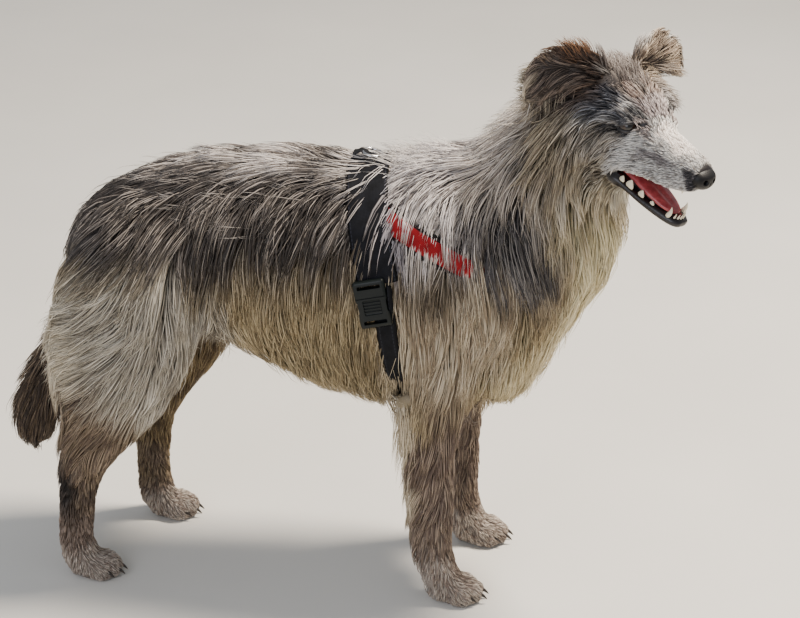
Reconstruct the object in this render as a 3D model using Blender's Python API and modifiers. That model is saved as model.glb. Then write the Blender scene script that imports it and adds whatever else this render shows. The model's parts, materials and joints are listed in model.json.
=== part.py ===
"""A life-size standing herding dog in a harness: the solids, out to the tips of the coat.

Metres, +Z up, the dog faces +X. Everything is first laid out in the dog's own layout, whose
X = 0 is the middle of the back, and is shifted at the end so that the origin is on the floor
under the middle of the whole model.

Each region is a loft through a few named stations. The lofts are joined, remeshed and
smoothed into one body, and thin plane cuts part that body into its named pieces.
"""

import math

import bmesh
import bpy
from mathutils import Matrix, Vector

# ---------------------------------------------------------------- driving dimensions
GAP = 0.0004  # clearance between neighbouring solids
BODY_VOXEL = 0.0075  # remesh size of trunk, neck and legs
HEAD_VOXEL = 0.0032  # remesh size of the head
PAW_VOXEL = 0.0030  # remesh size of the paws
BODY_TRIANGLES = 1360
TRUNK_TRIANGLES = 560  # the bare trunk that the straps are cut from
HEAD_TRIANGLES = 820
PAW_TRIANGLES = 116
RING_SIDES = 20  # corners of one loft ring

FORE_TRACK = 0.072  # half the distance between the fore feet
HIND_TRACK_RIGHT = 0.088  # the right hind foot stands wide
HIND_TRACK_LEFT = 0.072
FORE_RIGHT = (0.173, -FORE_TRACK, 1.04)  # each paw's middle on the floor, and its size
FORE_LEFT = (0.182, FORE_TRACK, 1.04)
HIND_RIGHT = (-0.250, -HIND_TRACK_RIGHT, 0.98)
HIND_LEFT = (-0.197, HIND_TRACK_LEFT, 0.98)
WRIST_CUT = 0.046  # height of the cut between leg and paw

HEAD_ORIGIN = Vector((0.381, -0.036, 0.580))  # midpoint between the eyes
HEAD_YAW = math.radians(-36.0)  # looking to its right
HEAD_PITCH = math.radians(-5.0)  # nose a little down
HEAD_ROLL = math.radians(-3.0)
HEAD_SCALE = 1.05
JAW_OPEN = math.radians(20.0)
JAW_HINGE = Vector((-0.042, 0.0, -0.034))  # in head coordinates
NECK_CUT = (Vector((-0.087, 0.0, -0.015)), Vector((0.895, 0.0, 0.445)))  # point and normal

EYE_RADIUS = 0.0104
EYE_PLACE = Vector((-0.0060, 0.0270, 0.0040))  # left eyeball's centre, in head coordinates
EYE_AXIS = Vector((0.72, 0.69, 0.05)).normalized()  # the lids open along this
LID_SLANT = math.radians(-12.0)  # the inner corners are the higher ones
NOSE_PLACE = Vector((0.0757, 0.0, -0.0298))
NOSE_RADII = Vector((0.0125, 0.0148, 0.0120))

GIRTH_TILT = math.radians(13.0)  # the girth's foot is ahead of its top
GIRTH_TOP = Vector((0.074, 0.0, 0.505))
SADDLE_WIDTH = 0.050
SADDLE_FOOT = 0.405  # height where the saddle ends and the buckle begins
WEB_WIDTH = 0.025
WEB_AHEAD = 0.005  # the web below the buckle sits this much further forward
STRAP_SINK = 0.0060  # how far the straps press into the coat's outline
STRAP_DEPTH = 0.0030
BAND_WIDTH = 0.033
BAND_POINT = Vector((0.160, 0.0, 0.442))
BAND_FALL = math.radians(25.0)  # the breast band slopes down forwards
BUCKLE_SIZE = Vector((0.036, 0.011, 0.054))  # along the dog, thickness, along the strap
RING_RADIUS = 0.0110
RING_WIRE = 0.0018

NECK_PLANE = (Vector((0.205, 0.0, 0.440)), Vector((0.93, 0.0, 0.37)))  # neck and chest part here
RIB_PLANE = (Vector((0.020, 0.0, 0.400)), Vector((0.98, 0.0, 0.20)))  # chest and barrel
RUMP_PLANE = (Vector((-0.095, 0.0, 0.400)), Vector((1.0, 0.0, 0.12)))  # barrel and rump
THIGH_PLANE = (Vector((-0.190, 0.0, 0.345)), Vector((0.22, 0.0, -1.0)))  # rump and thighs
HOCK_PLANE = (Vector((-0.220, 0.0, 0.200)), Vector((0.25, 0.0, -1.0)))  # thigh and lower leg
ELBOW_BOX = ((0.150, 0.0, 0.120), (0.150, 0.30, 0.206))  # the fore legs part from the chest here
BREAST_HALF = 0.029  # and the breast between them stays with the chest

# ---------------------------------------------------------------- scene and materials
for old in list(bpy.data.objects):
    bpy.data.objects.remove(old, do_unlink=True)

dog_parts = bpy.data.collections.new("dog")
tools = bpy.data.collections.new("cutters")
tools.hide_render = True
bpy.context.scene.collection.children.link(dog_parts)
bpy.context.scene.collection.children.link(tools)


def material(name, colour, roughness, metallic=0.0):
    made = bpy.data.materials.new(name)
    made.use_nodes = True
    shader = made.node_tree.nodes["Principled BSDF"]
    shader.inputs["Base Color"].default_value = (*colour, 1.0)
    shader.inputs["Roughness"].default_value = roughness
    shader.inputs["Metallic"].default_value = metallic
    return made


COAT = material("coat", (0.30, 0.25, 0.21), 0.85)
LEATHER_NOSE = material("nose_leather", (0.03, 0.03, 0.035), 0.45)
EYE = material("eye", (0.03, 0.018, 0.010), 0.10)
TONGUE = material("tongue", (0.62, 0.16, 0.17), 0.40)
CLAW = material("claw", (0.05, 0.045, 0.04), 0.40)
WEBBING = material("webbing", (0.015, 0.016, 0.020), 0.75)
RED_FABRIC = material("red_fabric", (0.55, 0.02, 0.02), 0.70)
PLASTIC = material("plastic", (0.02, 0.025, 0.024), 0.45)
STEEL = material("steel", (0.60, 0.60, 0.62), 0.30, 1.0)


def new_object(name, mesh, finish, collection=dog_parts):
    made = bpy.data.objects.new(name, mesh)
    collection.objects.link(made)
    mesh.materials.clear()
    mesh.materials.append(finish)
    return made


def drop(thing):
    bpy.data.objects.remove(thing, do_unlink=True)


def evaluated_mesh(thing):
    """The object's mesh with its modifiers applied, in world space."""
    bpy.context.view_layer.update()
    graph = bpy.context.evaluated_depsgraph_get()
    mesh = bpy.data.meshes.new_from_object(thing.evaluated_get(graph))
    mesh.transform(thing.matrix_world)
    return mesh


def apply_modifiers(thing):
    mesh = evaluated_mesh(thing)
    thing.modifiers.clear()
    thing.data = mesh
    thing.matrix_world = Matrix.Identity(4)


# ---------------------------------------------------------------- lofts
def smooth_between(rows, steps):
    """Catmull-Rom rows between the given rows of numbers."""
    ends = [rows[0], *rows, rows[-1]]
    made = []
    for i in range(len(rows) - 1):
        p0, p1, p2, p3 = ends[i : i + 4]
        for step in range(steps):
            t = step / steps
            made.append(
                [
                    0.5 * (2 * b + (c - a) * t + (2 * a - 5 * b + 4 * c - d) * t**2
                           + (3 * b - a - 3 * c + d) * t**3)
                    for a, b, c, d in zip(p0, p1, p2, p3)
                ]
            )
    made.append(list(rows[-1]))
    return made


def loft(stations, side=(0.0, 1.0, 0.0), steps=3, squareness=1.0, under=None, sides=RING_SIDES):
    """A closed bmesh through stations (x, y, z, half width, reach up, reach down).

    Width runs along `side`; up is square to it and to the path. squareness under 1 makes the
    ring boxier than an ellipse, and `under` is the same for its lower half.
    """
    under = squareness if under is None else under
    rows = smooth_between(stations, steps)
    side = Vector(side).normalized()
    body = bmesh.new()
    rings = []
    for i, (x, y, z, wide, up, down) in enumerate(rows):
        ahead = Vector(rows[min(i + 1, len(rows) - 1)][:3]) - Vector(rows[max(i - 1, 0)][:3])
        across = (side - side.project(ahead)).normalized()
        rise = ahead.cross(across).normalized()
        ring = []
        for corner in range(sides):
            angle = 2 * math.pi * corner / sides
            c, s = math.cos(angle), math.sin(angle)
            power = squareness if s > 0 else under
            c, s = (math.copysign(abs(v) ** power, v) for v in (c, s))
            place = Vector((x, y, z)) + across * wide * c + rise * (up if s > 0 else down) * s
            ring.append(body.verts.new(place))
        rings.append(ring)
    for low, high in zip(rings, rings[1:]):
        for i in range(sides):
            j = (i + 1) % sides
            body.faces.new((low[i], low[j], high[j], high[i]))
    body.faces.new(list(reversed(rings[0])))
    body.faces.new(rings[-1])
    bmesh.ops.recalc_face_normals(body, faces=body.faces)
    return body


def ball(place, radii, turn=None, around=20):
    """A closed bmesh ellipsoid."""
    body = bmesh.new()
    rows = max(6, around * 3 // 5)
    bmesh.ops.create_uvsphere(body, u_segments=around, v_segments=rows, radius=1.0)
    bmesh.ops.scale(body, vec=Vector(radii), verts=body.verts)
    if turn is not None:
        bmesh.ops.rotate(body, cent=(0, 0, 0), matrix=turn, verts=body.verts)
    bmesh.ops.translate(body, vec=Vector(place), verts=body.verts)
    return body


def gather(name, shapes, transform=None):
    """One object from several closed bmeshes, which may overlap."""
    mesh = bpy.data.meshes.new(name)
    whole = bmesh.new()
    for shape in shapes:
        shape.to_mesh(mesh)
        whole.from_mesh(mesh)
        shape.free()
    if transform is not None:
        bmesh.ops.transform(whole, matrix=transform, verts=whole.verts)
    whole.to_mesh(mesh)
    whole.free()
    return new_object(name, mesh, COAT, tools)


def lighten(thing, triangles):
    """Brings a mesh down to about that many triangles."""
    full = sum(len(face.vertices) - 2 for face in thing.data.polygons)
    fewer = thing.modifiers.new("fewer", "DECIMATE")
    fewer.ratio = min(1.0, triangles / full)
    apply_modifiers(thing)


def fuse(thing, voxel, smoothing, triangles):
    """Turns overlapping lofts into one smooth closed surface of about that many triangles."""
    remesh = thing.modifiers.new("fuse", "REMESH")
    remesh.mode = "VOXEL"
    remesh.voxel_size = voxel
    remesh.adaptivity = 0.0
    soften = thing.modifiers.new("soften", "SMOOTH")
    soften.factor = 0.6
    soften.iterations = smoothing
    apply_modifiers(thing)
    if triangles:
        lighten(thing, triangles)
    return thing


# ---------------------------------------------------------------- the body's lofts
def trunk_lofts():
    """Barrel and breast. A station is x, y, z, half width, reach up, reach down."""
    barrel = [
        (-0.268, 0.0, 0.345, 0.026, 0.028, 0.035),
        (-0.254, 0.0, 0.360, 0.052, 0.044, 0.075),
        (-0.222, 0.0, 0.380, 0.078, 0.070, 0.095),
        (-0.175, 0.0, 0.395, 0.091, 0.089, 0.095),
        (-0.120, 0.0, 0.395, 0.094, 0.116, 0.100),
        (-0.060, 0.0, 0.385, 0.095, 0.136, 0.110),
        (0.000, 0.0, 0.380, 0.101, 0.140, 0.136),
        (0.060, 0.0, 0.378, 0.107, 0.137, 0.149),
        (0.110, 0.0, 0.378, 0.112, 0.146, 0.155),
        (0.160, 0.0, 0.378, 0.114, 0.157, 0.156),
        (0.205, 0.0, 0.370, 0.108, 0.158, 0.148),
        (0.240, 0.0, 0.350, 0.092, 0.135, 0.110),
        (0.264, 0.0, 0.330, 0.062, 0.090, 0.074),
        (0.274, 0.0, 0.322, 0.030, 0.045, 0.036),
    ]
    # the apron of long hair under the throat and down the breast
    apron = [
        (0.302, -0.006, 0.510, 0.052, 0.050, 0.060),
        (0.304, -0.004, 0.460, 0.066, 0.060, 0.064),
        (0.284, -0.002, 0.405, 0.073, 0.058, 0.060),
        (0.252, 0.000, 0.350, 0.077, 0.050, 0.045),
        (0.224, 0.000, 0.292, 0.073, 0.050, 0.046),
        (0.202, 0.000, 0.252, 0.058, 0.044, 0.044),
    ]
    return [loft(barrel), loft(apron)]


def neck_loft():
    """The neck in its ruff, from between the shoulders to behind the skull."""
    neck = [
        (0.150, 0.000, 0.395, 0.086, 0.100, 0.085),
        (0.205, 0.000, 0.435, 0.092, 0.106, 0.098),
        (0.243, 0.000, 0.478, 0.088, 0.082, 0.102),
        (0.272, 0.000, 0.520, 0.082, 0.074, 0.098),
        (0.296, 0.002, 0.560, 0.075, 0.066, 0.080),
        (0.316, 0.006, 0.596, 0.058, 0.050, 0.050),
    ]
    return loft(neck)


def fore_leg(sign, track, shift):
    """Shoulder to wrist. A station's width is across the dog, its reaches are ahead and behind."""
    y = sign * track
    leg = [
        (0.165 + shift, y * 0.86, 0.345, 0.042, 0.050, 0.056),
        (0.158 + shift, y * 0.94, 0.285, 0.040, 0.050, 0.052),
        (0.154 + shift, y, 0.235, 0.033, 0.042, 0.042),
        (0.153 + shift, y, 0.190, 0.026, 0.033, 0.034),
        (0.154 + shift, y, 0.140, 0.0235, 0.029, 0.031),
        (0.155 + shift, y, 0.095, 0.0225, 0.0265, 0.028),
        (0.156 + shift, y, 0.062, 0.0215, 0.0250, 0.026),
        (0.163 + shift, y, 0.034, 0.0215, 0.0225, 0.024),
        (0.170 + shift, y, 0.018, 0.0230, 0.0230, 0.022),
    ]
    return loft(leg, side=(0, 1, 0))


def hind_leg(sign, track, hip_shift, foot_shift):
    """Thigh with its breeches, lower thigh, hock and rear pastern."""
    y = sign * track

    def at(x, share, z, *reach):
        return (x + hip_shift + (foot_shift - hip_shift) * share, y, z, *reach)

    thigh = [
        (-0.160 + hip_shift * 0.3, y * 0.50, 0.462, 0.020, 0.036, 0.040),
        (-0.172 + hip_shift * 0.4, y * 0.70, 0.425, 0.038, 0.066, 0.068),
        (-0.180 + hip_shift * 0.6, y * 0.86, 0.375, 0.046, 0.080, 0.092),
        (-0.190 + hip_shift * 0.8, y * 0.95, 0.320, 0.044, 0.083, 0.094),
        at(-0.202, 0.1, 0.265, 0.038, 0.075, 0.084),
        at(-0.215, 0.2, 0.220, 0.031, 0.057, 0.064),
        at(-0.229, 0.4, 0.180, 0.025, 0.037, 0.042),
        at(-0.243, 0.6, 0.145, 0.0215, 0.027, 0.034),
        at(-0.250, 0.8, 0.118, 0.0205, 0.024, 0.031),
        at(-0.254, 0.9, 0.080, 0.0190, 0.0215, 0.026),
        at(-0.256, 1.0, 0.045, 0.0190, 0.0210, 0.024),
        at(-0.252, 1.0, 0.020, 0.0210, 0.0230, 0.023),
    ]
    return loft(thigh, side=(0, 1, 0))


TOES = (  # a toe's offset ahead and outwards from the paw's middle, and its length
    (0.000, -0.0165, 0.0165),
    (0.0085, -0.0060, 0.0180),
    (0.0085, 0.0060, 0.0180),
    (0.000, 0.0165, 0.0165),
)


def paw(x, y, size):
    """Four toes round a pad, as overlapping ellipsoids, resting on the floor."""
    shapes = [ball((x, y, 0.014), (0.026 * size, 0.0225 * size, 0.018))]
    for ahead, aside, long in TOES:
        shapes.append(
            ball((x + (0.016 + ahead) * size, y + aside * size, 0.0115),
                 (long * size, 0.0092 * size, 0.0155))
        )
    return shapes


def leg_lofts():
    """The four legs, keyed by the paw they end in."""
    return {
        "fore_paw_right": fore_leg(-1, FORE_TRACK, 0.0),
        "fore_paw_left": fore_leg(1, FORE_TRACK, 0.009),
        "hind_paw_right": hind_leg(-1, HIND_TRACK_RIGHT, 0.0, -0.006),
        "hind_paw_left": hind_leg(1, HIND_TRACK_LEFT, 0.026, 0.046),
    }


PAWS = {
    "fore_paw_right": FORE_RIGHT,
    "fore_paw_left": FORE_LEFT,
    "hind_paw_right": HIND_RIGHT,
    "hind_paw_left": HIND_LEFT,
}


def body_object():
    body = gather("body", [*trunk_lofts(), neck_loft(), *leg_lofts().values()])
    return fuse(gather_more(body, head_lofts(), head_matrix()), BODY_VOXEL, 8, BODY_TRIANGLES)


def gather_more(thing, shapes, transform):
    """Adds further closed shapes to an object that is about to be fused."""
    whole = bmesh.new()
    for shape in shapes:
        bmesh.ops.transform(shape, matrix=transform, verts=shape.verts)
        spare = bpy.data.meshes.new("spare")
        shape.to_mesh(spare)
        whole.from_mesh(spare)
        shape.free()
    whole.from_mesh(thing.data)
    whole.to_mesh(thing.data)
    whole.free()
    return thing


# ---------------------------------------------------------------- the head's lofts
def head_matrix():
    turn = Matrix.Rotation(HEAD_YAW, 4, "Z") @ Matrix.Rotation(-HEAD_PITCH, 4, "Y")
    turn = turn @ Matrix.Rotation(HEAD_ROLL, 4, "X")
    return Matrix.Translation(HEAD_ORIGIN) @ turn @ Matrix.Scale(HEAD_SCALE, 4)


def jaw_matrix():
    """Opens the lower jaw about its hinge, in head coordinates."""
    return (
        Matrix.Translation(JAW_HINGE)
        @ Matrix.Rotation(JAW_OPEN, 4, "Y")
        @ Matrix.Translation(-JAW_HINGE)
    )


def head_lofts():
    """Head coordinates: x towards the nose, z up, origin midway between the eyes."""
    skull = [
        (-0.118, 0, -0.004, 0.020, 0.020, 0.030),
        (-0.104, 0, 0.000, 0.042, 0.034, 0.045),
        (-0.075, 0, 0.000, 0.053, 0.045, 0.050),
        (-0.042, 0, 0.000, 0.0535, 0.0470, 0.050),
        (-0.018, 0, 0.000, 0.0450, 0.0385, 0.046),
        (0.002, 0, -0.003, 0.0355, 0.0260, 0.040),
        (0.016, 0, -0.008, 0.0290, 0.0170, 0.034),
    ]
    muzzle = [
        (-0.034, 0, -0.014, 0.0385, 0.0300, 0.0330),
        (-0.012, 0, -0.017, 0.0345, 0.0260, 0.0350),
        (0.008, 0, -0.019, 0.0305, 0.0235, 0.0320),
        (0.026, 0, -0.021, 0.0268, 0.0205, 0.0310),
        (0.048, 0, -0.025, 0.0240, 0.0175, 0.0285),
        (0.066, 0, -0.029, 0.0208, 0.0165, 0.0215),
        (0.0765, 0, -0.031, 0.0165, 0.0135, 0.0160),
        (0.0820, 0, -0.032, 0.0115, 0.0090, 0.0115),
    ]
    return [
        loft(skull, squareness=0.92),
        loft(muzzle, squareness=0.85, under=0.55),
        *(ball((-0.016, s * 0.026, 0.0130), (0.020, 0.0135, 0.0105)) for s in (-1, 1)),
        *(ball(mirrored(EYE_PLACE, s), [EYE_RADIUS + 0.0036] * 3) for s in (-1, 1)),
        *(ball((-0.050, s * 0.034, -0.026), (0.034, 0.024, 0.027)) for s in (-1, 1)),
    ]


def jaw_loft():
    jaw = [
        (-0.070, 0, -0.0430, 0.0320, 0.0100, 0.0160),
        (-0.040, 0, -0.0470, 0.0320, 0.0100, 0.0160),
        (-0.010, 0, -0.0500, 0.0290, 0.0090, 0.0145),
        (0.020, 0, -0.0515, 0.0245, 0.0080, 0.0115),
        (0.050, 0, -0.0515, 0.0185, 0.0075, 0.0090),
        (0.066, 0, -0.0508, 0.0145, 0.0070, 0.0078),
        (0.0745, 0, -0.0505, 0.0085, 0.0050, 0.0055),
    ]
    shape = loft(jaw, squareness=0.70)
    bmesh.ops.transform(shape, matrix=jaw_matrix(), verts=shape.verts)
    return shape


def mouth_carvers():
    """Hollows between the upper lips and between the lower ones."""
    upper = [
        (-0.036, 0, -0.0490, 0.0120, 0.0040, 0.0040),
        (-0.010, 0, -0.0520, 0.0225, 0.0090, 0.0060),
        (0.020, 0, -0.0530, 0.0205, 0.0110, 0.0070),
        (0.046, 0, -0.0540, 0.0170, 0.0105, 0.0070),
        (0.062, 0, -0.0520, 0.0130, 0.0075, 0.0070),
        (0.070, 0, -0.0500, 0.0060, 0.0035, 0.0040),
    ]
    lower = [
        (-0.050, 0, -0.0340, 0.0140, 0.0060, 0.0060),
        (-0.010, 0, -0.0360, 0.0220, 0.0080, 0.0120),
        (0.020, 0, -0.0370, 0.0185, 0.0080, 0.0135),
        (0.046, 0, -0.0370, 0.0135, 0.0080, 0.0140),
        (0.061, 0, -0.0370, 0.0090, 0.0080, 0.0130),
        (0.066, 0, -0.0370, 0.0045, 0.0060, 0.0090),
    ]
    low = loft(lower)
    bmesh.ops.transform(low, matrix=jaw_matrix(), verts=low.verts)
    return [loft(upper, squareness=0.85), low]


# ---------------------------------------------------------------- cutting tools
def is_closed(mesh):
    """Whether the mesh has faces and every edge joins two of them."""
    body = bmesh.new()
    body.from_mesh(mesh)
    closed = bool(body.faces) and all(edge.is_manifold for edge in body.edges)
    body.free()
    return closed


def boolean(thing, other, operation):
    """Applies one Boolean, with the second solver where the exact one leaves a broken mesh."""
    before = thing.data
    for solver in ("EXACT", "MANIFOLD"):
        step = thing.modifiers.new("step", "BOOLEAN")
        step.object = other
        step.operation = operation
        step.solver = solver
        apply_modifiers(thing)
        if is_closed(thing.data):
            return thing
        broken, thing.data = thing.data, before
        bpy.data.meshes.remove(broken)
    raise ValueError(f"{operation} of {other.name} from {thing.name} fails")


def copy_of(thing, name):
    made = new_object(name, thing.data.copy(), thing.data.materials[0], tools)
    return made


def box(place, size, turn=None):
    """A closed box object for cutting, made in world space."""
    body = bmesh.new()
    bmesh.ops.create_cube(body, size=1.0)
    bmesh.ops.scale(body, vec=Vector(size), verts=body.verts)
    if turn is not None:
        bmesh.ops.rotate(body, cent=(0, 0, 0), matrix=turn, verts=body.verts)
    bmesh.ops.translate(body, vec=Vector(place), verts=body.verts)
    return gather("box", [body])


def half_space(point, normal, offset):
    """A big box whose face lies `offset` beyond the plane, filling the side of the normal."""
    normal = Vector(normal).normalized()
    turn = normal.to_track_quat("Z", "Y").to_matrix()
    size = 1.6
    return box(Vector(point) + normal * (offset + size / 2), (size, size, size), turn)


def keep_side(thing, point, normal):
    """Keeps what is on the side of the normal, half a gap back from the plane."""
    cutter = half_space(point, normal, GAP / 2)
    boolean(thing, cutter, "INTERSECT")
    drop(cutter)
    return thing


def split(thing, point, normal, ahead, behind):
    """Parts a solid by a plane into two named solids, with the gap between them."""
    other = copy_of(thing, behind)
    thing.name = ahead
    keep_side(thing, point, normal)
    keep_side(other, point, -Vector(normal))
    return thing, other


def grown(thing, name, distance):
    """A copy pushed out along its own normals (in, when the distance is negative)."""
    made = copy_of(thing, name)
    push = made.modifiers.new("push", "DISPLACE")
    push.strength = distance
    push.mid_level = 0.0
    apply_modifiers(made)
    return made


def finish(thing, name, colour):
    """Moves a finished solid into the dog and gives it its name and material."""
    thing.name = name
    thing.data.name = name
    thing.data.materials.clear()
    thing.data.materials.append(colour)
    for holder in list(thing.users_collection):
        holder.objects.unlink(thing)
    dog_parts.objects.link(thing)
    return thing


# ---------------------------------------------------------------- head, in head coordinates
def mirrored(place, sign):
    return Vector((place[0], place[1] * sign, place[2]))


def right_ear():
    """Held out and back, its outer third fallen over."""
    stations = [
        (-0.046, -0.034, 0.0460, 0.0100, 0.0200, 0.0180),
        (-0.056, -0.046, 0.0500, 0.0095, 0.0225, 0.0220),
        (-0.069, -0.059, 0.0480, 0.0085, 0.0230, 0.0250),
        (-0.081, -0.071, 0.0390, 0.0080, 0.0215, 0.0250),
        (-0.087, -0.077, 0.0250, 0.0070, 0.0160, 0.0180),
        (-0.089, -0.079, 0.0120, 0.0045, 0.0075, 0.0080),
    ]
    return loft(stations, side=(0.72, -0.70, 0.0), steps=2, sides=10)


def left_ear():
    """Pricked and turned out sideways, its inside to the front and its tip tilting over."""
    stations = [
        (-0.048, 0.030, 0.0370, 0.0100, 0.0190, 0.0190),
        (-0.047, 0.040, 0.0480, 0.0095, 0.0215, 0.0215),
        (-0.044, 0.051, 0.0540, 0.0085, 0.0225, 0.0225),
        (-0.040, 0.062, 0.0510, 0.0080, 0.0210, 0.0205),
        (-0.036, 0.070, 0.0410, 0.0070, 0.0165, 0.0155),
        (-0.034, 0.074, 0.0300, 0.0045, 0.0080, 0.0075),
    ]
    return loft(stations, side=(1.0, 0.10, 0.15), steps=2, sides=10)


def lid_opening(sign):
    """The almond window in front of an eyeball."""
    axis = mirrored(EYE_AXIS, sign)
    turn = axis.to_track_quat("X", "Z").to_matrix() @ Matrix.Rotation(LID_SLANT * sign, 3, "X")
    place = mirrored(EYE_PLACE, sign) + axis * (EYE_RADIUS + 0.001)
    return ball(place, (0.0100, 0.0128, 0.0052), turn, around=14)


def tooth(base, tip, thick, long):
    """A blunt five-sided spike from base to tip, `long` along the jaw and `thick` across it."""
    base, tip = Vector(base), Vector(tip)
    body = bmesh.new()
    rings = []
    for share, size in ((0.0, 1.0), (0.55, 0.8), (1.0, 0.25)):
        ring = []
        for corner in range(5):
            angle = 2 * math.pi * corner / 5
            off = Vector((math.cos(angle) * long, math.sin(angle) * thick, 0.0)) * size
            ring.append(body.verts.new(base.lerp(tip, share) + off))
        rings.append(ring)
    for low, high in zip(rings, rings[1:]):
        for i in range(5):
            body.faces.new((low[i], low[(i + 1) % 5], high[(i + 1) % 5], high[i]))
    body.faces.new(list(reversed(rings[0])))
    body.faces.new(rings[-1])
    bmesh.ops.recalc_face_normals(body, faces=body.faces)
    return body


def lower_teeth():
    """Incisors, canines and cheek teeth of the lower jaw, laid out with the jaw closed."""
    shapes = []
    for sign in (-1, 1):
        for aside, ahead in ((0.0016, 0.0680), (0.0047, 0.0668), (0.0076, 0.0642)):
            foot = (ahead, sign * aside, -0.0500)
            shapes.append(tooth(foot, (ahead + 0.001, sign * aside, -0.0400), 0.0014, 0.0014))
        foot = (0.0585, sign * 0.0118, -0.0510)
        shapes.append(tooth(foot, (0.0610, sign * 0.0128, -0.0340), 0.0026, 0.0032))
        for ahead, aside, tall in (
            (0.046, 0.0150, 0.0075),
            (0.037, 0.0168, 0.0085),
            (0.027, 0.0188, 0.0092),
            (0.013, 0.0212, 0.0105),
        ):
            foot = (ahead, sign * aside, -0.0500)
            tip = (ahead, sign * aside, -0.0500 + tall)
            shapes.append(tooth(foot, tip, 0.0018, 0.0040))
    for shape in shapes:
        bmesh.ops.transform(shape, matrix=jaw_matrix(), verts=shape.verts)
    return shapes


def upper_teeth():
    shapes = []
    for sign in (-1, 1):
        for aside, ahead in ((0.0018, 0.0705), (0.0052, 0.0695)):
            foot = (ahead - 0.002, sign * aside, -0.0435)
            shapes.append(tooth(foot, (ahead - 0.002, sign * aside, -0.0490), 0.0015, 0.0015))
        foot = (0.0620, sign * 0.0112, -0.0400)
        shapes.append(tooth(foot, (0.0630, sign * 0.0114, -0.0505), 0.0022, 0.0028))
    return shapes


def tongue_loft():
    """Lies in the lower jaw, its tip just behind the incisors."""
    stations = [
        (-0.030, 0, -0.0400, 0.0120, 0.0045, 0.0030),
        (-0.005, 0, -0.0405, 0.0140, 0.0050, 0.0030),
        (0.020, 0, -0.0415, 0.0130, 0.0045, 0.0030),
        (0.042, 0, -0.0425, 0.0105, 0.0032, 0.0024),
        (0.054, 0, -0.0430, 0.0068, 0.0020, 0.0018),
    ]
    shape = loft(stations, steps=1, sides=12)
    bmesh.ops.transform(shape, matrix=jaw_matrix(), verts=shape.verts)
    return shape


def build_head():
    place = head_matrix()
    head = gather("head", [neck_loft(), trunk_lofts()[1]])
    fuse(gather_more(head, [*head_lofts(), jaw_loft()], place), HEAD_VOXEL, 5, 0)
    for hollow in mouth_carvers():
        carve = gather("carve", [hollow], place)
        boolean(head, carve, "DIFFERENCE")
        drop(carve)
    fuse(head, HEAD_VOXEL * 0.9, 2, HEAD_TRIANGLES)
    point, normal = NECK_CUT
    plane = (place @ point, (place.to_3x3() @ normal).normalized())
    keep_side(head, *plane)

    pieces = {}
    for side, sign in (("left", 1), ("right", -1)):
        eye = ball(mirrored(EYE_PLACE, sign), [EYE_RADIUS] * 3, around=12)
        pieces[f"eye_{side}"] = (gather("eye", [eye], place), EYE)
        room = ball(mirrored(EYE_PLACE, sign), [EYE_RADIUS + GAP] * 3, around=12)
        for shape in (room, lid_opening(sign)):
            cutter = gather("window", [shape], place)
            boolean(head, cutter, "DIFFERENCE")
            drop(cutter)
    pieces["ear_left"] = (gather("ear", [left_ear()], place), COAT)
    pieces["ear_right"] = (gather("ear", [right_ear()], place), COAT)
    nose = gather("nose", [ball(NOSE_PLACE, NOSE_RADII, around=16)], place)
    pieces["nose"] = (nose, LEATHER_NOSE)
    socket = grown(nose, "socket", GAP)
    boolean(head, socket, "DIFFERENCE")
    drop(socket)
    teeth = gather("teeth", [*upper_teeth()], place)
    skin = grown(head, "skin", GAP)
    for side in ("left", "right"):
        boolean(pieces[f"ear_{side}"][0], skin, "DIFFERENCE")
    drop(skin)
    lip = (Vector((-0.016, 0.0, -0.0525)), Vector((-0.10, 0.0, -1.0)))
    jaw, head = split(head, place @ lip[0], place.to_3x3() @ lip[1], "lower_jaw", "head")
    boolean(head, teeth, "UNION")
    drop(teeth)
    teeth = gather("teeth", lower_teeth(), place)
    boolean(jaw, teeth, "UNION")
    drop(teeth)
    tongue = gather("tongue", [tongue_loft()], place)
    room = grown(jaw, "room", GAP)
    boolean(tongue, room, "DIFFERENCE")
    drop(room)
    pieces["tongue"] = (tongue, TONGUE)
    pieces["head"] = (head, COAT)
    pieces["lower_jaw"] = (jaw, COAT)
    for name, (thing, colour) in pieces.items():
        finish(thing, name, colour)
    return plane


# ---------------------------------------------------------------- paws and claws
def claw(x, y, size, fatter=0.0):
    """A blunt curved cone pointing ahead and down, its back end buried in the toe."""
    long, thick = 0.0068 * size, 0.0024 * size + fatter
    stations = [
        (x - 0.0030 - fatter, y, 0.0125, thick * 0.9, thick * 1.1, thick * 1.1),
        (x + long * 0.55 + fatter, y, 0.0095, thick * 0.6, thick * 0.8, thick * 0.8),
        (x + long + fatter, y, 0.0048, thick * 0.25 + fatter, thick * 0.3, thick * 0.3),
    ]
    body = bmesh.new()
    rings = []
    for sx, sy, sz, wide, up, down in stations:
        ring = []
        for corner in range(5):
            angle = 2 * math.pi * (corner + 0.5) / 5
            c, s = math.cos(angle), math.sin(angle)
            ring.append(body.verts.new((sx, sy + wide * c, sz + (up if s > 0 else down) * s)))
        rings.append(ring)
    for low, high in zip(rings, rings[1:]):
        for i in range(5):
            body.faces.new((low[i], low[(i + 1) % 5], high[(i + 1) % 5], high[i]))
    body.faces.new(list(reversed(rings[0])))
    body.faces.new(rings[-1])
    bmesh.ops.recalc_face_normals(body, faces=body.faces)
    return body


def claw_places(x, y, size):
    for ahead, aside, long in TOES:
        yield x + (0.016 + ahead + long - 0.0035) * size, y + aside * size


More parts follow.
